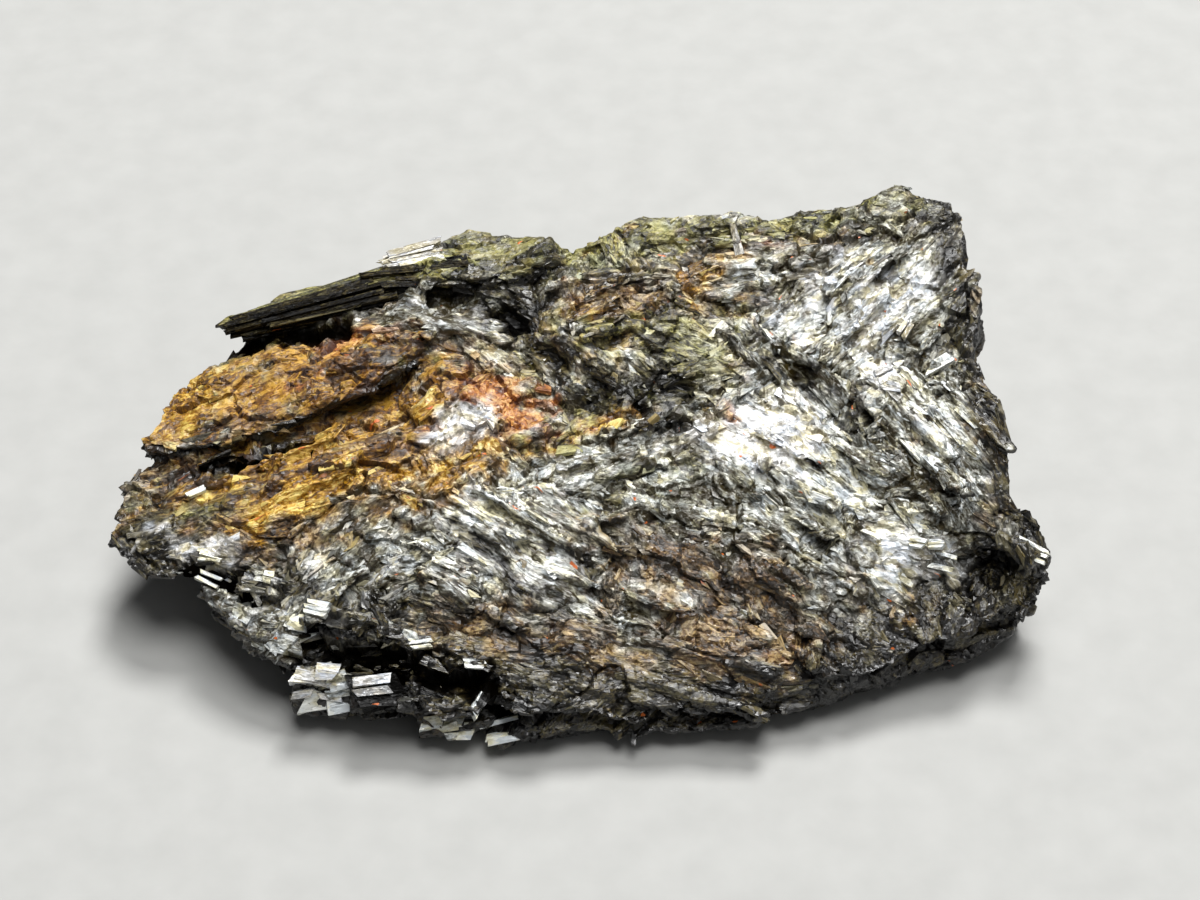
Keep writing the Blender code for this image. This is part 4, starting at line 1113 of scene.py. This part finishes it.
# The fragments overlap by this much. They are turned by this many degrees, and more where they are in rows.
OVERLAP = 1.15
FRAGMENT_TURN = 3.0
ROW_TURN = 4.0
FRAGMENT_SIZES = (0.75, 1.1)
FRAGMENT_STEP = 0.12
# The top of a fragment in the face stands out of it by no more than this.
STANDS_OUT = 0.3


def fragments(middle, heading, pitch, roll, length, width, thick, along, across, in_the_face):
    """The fragments of one cluster: their middles, ways and sizes."""
    parts = []
    for k, j in np.ndindex(along, across):
        angles = np.radians(chance.normal((heading, -pitch, roll), FRAGMENT_TURN + ROW_TURN * (along > 1)))
        turn = Matrix.Identity(3)
        for angle, axis in zip(angles, "ZYX"):
            turn = turn @ Matrix.Rotation(angle, 3, axis)
        run, side, up = (np.array(turn.col[n]) for n in range(3))
        size = (OVERLAP * length / along, OVERLAP * width / across, thick)
        size = chance.uniform(*FRAGMENT_SIZES, 3) * size
        centre = np.array(middle) + DRAWN_FROM
        centre = centre + ((k + 0.5) / along - 0.5) * length * run
        centre = centre + ((j + 0.5) / across - 0.5) * width * side
        centre = centre + chance.uniform(-FRAGMENT_STEP, FRAGMENT_STEP) * thick * up
        place, normal, _, _ = stone_tree.find_nearest(centre)
        highest_middle = STANDS_OUT - 0.5 * thick
        if in_the_face and (Vector(centre) - place).dot(normal) > highest_middle:
            centre = np.array(place + highest_middle * normal)
        parts.append((centre, run, side, up, *size))
    return parts


for piece, rows in BLOCKS.items():
    for name in MINERALS_AND_PAINTED_LIGHT:
        lightness_of, parts = [], []
        for mineral, light, x, y, z, *form in rows:
            if mineral == name:
                cluster = fragments((x, y, z), *form, piece not in STANDS_OUT_WHOLE)
                lightness_of += [light] * len(cluster)
                parts += cluster
        if parts:
            parts = [np.array([part[k] for part in parts]) for k in range(7)]
            whole_crystals(piece, name, lightness_of, parts, BLOCK_ENDS, BLOCK_SLANT)


# ---------------------------------------------------------------- the floor
# A sheet of pale matt paper, wider than any view of the stone. It lies flat under the resting face, and
# is no part of the object.
SHEET = 1.2
# Real pulp is flecked far more finely. Its flecks are drawn coarser, so that they show.
PULP = 2.5
PAPER_SHADES = ((0.3, "#a6a6a3"), (0.7, "#acaca9"))
floor_mesh = bpy.data.meshes.new("paper_floor")
floor_corners = [(-SHEET, -SHEET, 0), (SHEET, -SHEET, 0), (SHEET, SHEET, 0), (-SHEET, SHEET, 0)]
floor_mesh.from_pydata(floor_corners, [], [range(4)])
floor = bpy.data.objects.new("paper_floor", floor_mesh)
bpy.context.scene.collection.objects.link(floor)
# Uncoated paper, pressed but not glazed: it gives the eye an even, soft and nearly white ground.
paper = bpy.data.materials.new("matt_paper")
paper.use_nodes = True
shader = paper.node_tree.nodes["Principled BSDF"]
place = add(paper, "TexCoord").outputs["Object"]
pulp = add(paper, "TexNoise", {"Scale": 1.0 / (PULP * MM), "Detail": 4.0}, {"Vector": place})
shade = add(paper, "ValToRGB", links={"Fac": pulp.outputs["Fac"]}, stops=PAPER_SHADES)
paper.node_tree.links.new(shade.outputs["Color"], shader.inputs["Base Color"])
shader.inputs["Roughness"].default_value = 0.9
floor_mesh.materials.append(paper)


# ---------------------------------------------------------------- the lights
# A softbox high behind the stone, which the cleavage faces throw back to the eye, a large weak one above, a
# dim one in front, and a dark grey room. All three boxes face the middle of the stone.
STONE_MIDDLE = Vector((0.0, 0.0, 0.008))


def softbox(name, towards, distance, size, watts):
    """A square light this far from the stone, facing it."""
    light = bpy.data.lights.new(name, "AREA")
    light.size = size
    light.energy = watts
    obj = bpy.data.objects.new(name, light)
    bpy.context.scene.collection.objects.link(obj)
    away = Vector(towards).normalized()
    obj.location = STONE_MIDDLE + distance * away
    obj.rotation_euler = away.to_track_quat("Z", "Y").to_euler()


softbox("key_softbox", (0.16, 0.5, 1.0), 0.6, 0.18, 4.1)
softbox("top_softbox", (0.1, -0.06, 1.0), 0.6, 0.3, 3.0)
softbox("front_softbox", (0.5, -1.0, 1.1), 0.8, 0.5, 0.4)
world = bpy.data.worlds.new("dim_room")
world.use_nodes = True
background = world.node_tree.nodes["Background"]
background.inputs["Color"].default_value = linear("#c8ccd2")
background.inputs["Strength"].default_value = 0.09
bpy.context.scene.world = world


# ---------------------------------------------------------------- the camera
# It looks down at the top face at 45 degrees from the front, through an 85 mm lens, and the stone nearly
# fills the width of the view.
ELEVATION = math.radians(45.0)
TARGET = Vector((1.21, -1.05, 10.2)) * MM
DISTANCE = 157.4 * MM
camera_data = bpy.data.cameras.new("camera")
camera_data.lens = 85.0
camera_data.sensor_width = 36.0
camera_data.clip_start = 0.01
camera = bpy.data.objects.new("camera", camera_data)
bpy.context.scene.collection.objects.link(camera)
back = Vector((0.0, -math.cos(ELEVATION), math.sin(ELEVATION)))
camera.location = TARGET + DISTANCE * back
camera.rotation_euler = back.to_track_quat("Z", "Y").to_euler()
bpy.context.scene.camera = camera
bpy.context.scene.view_settings.view_transform = "Standard"
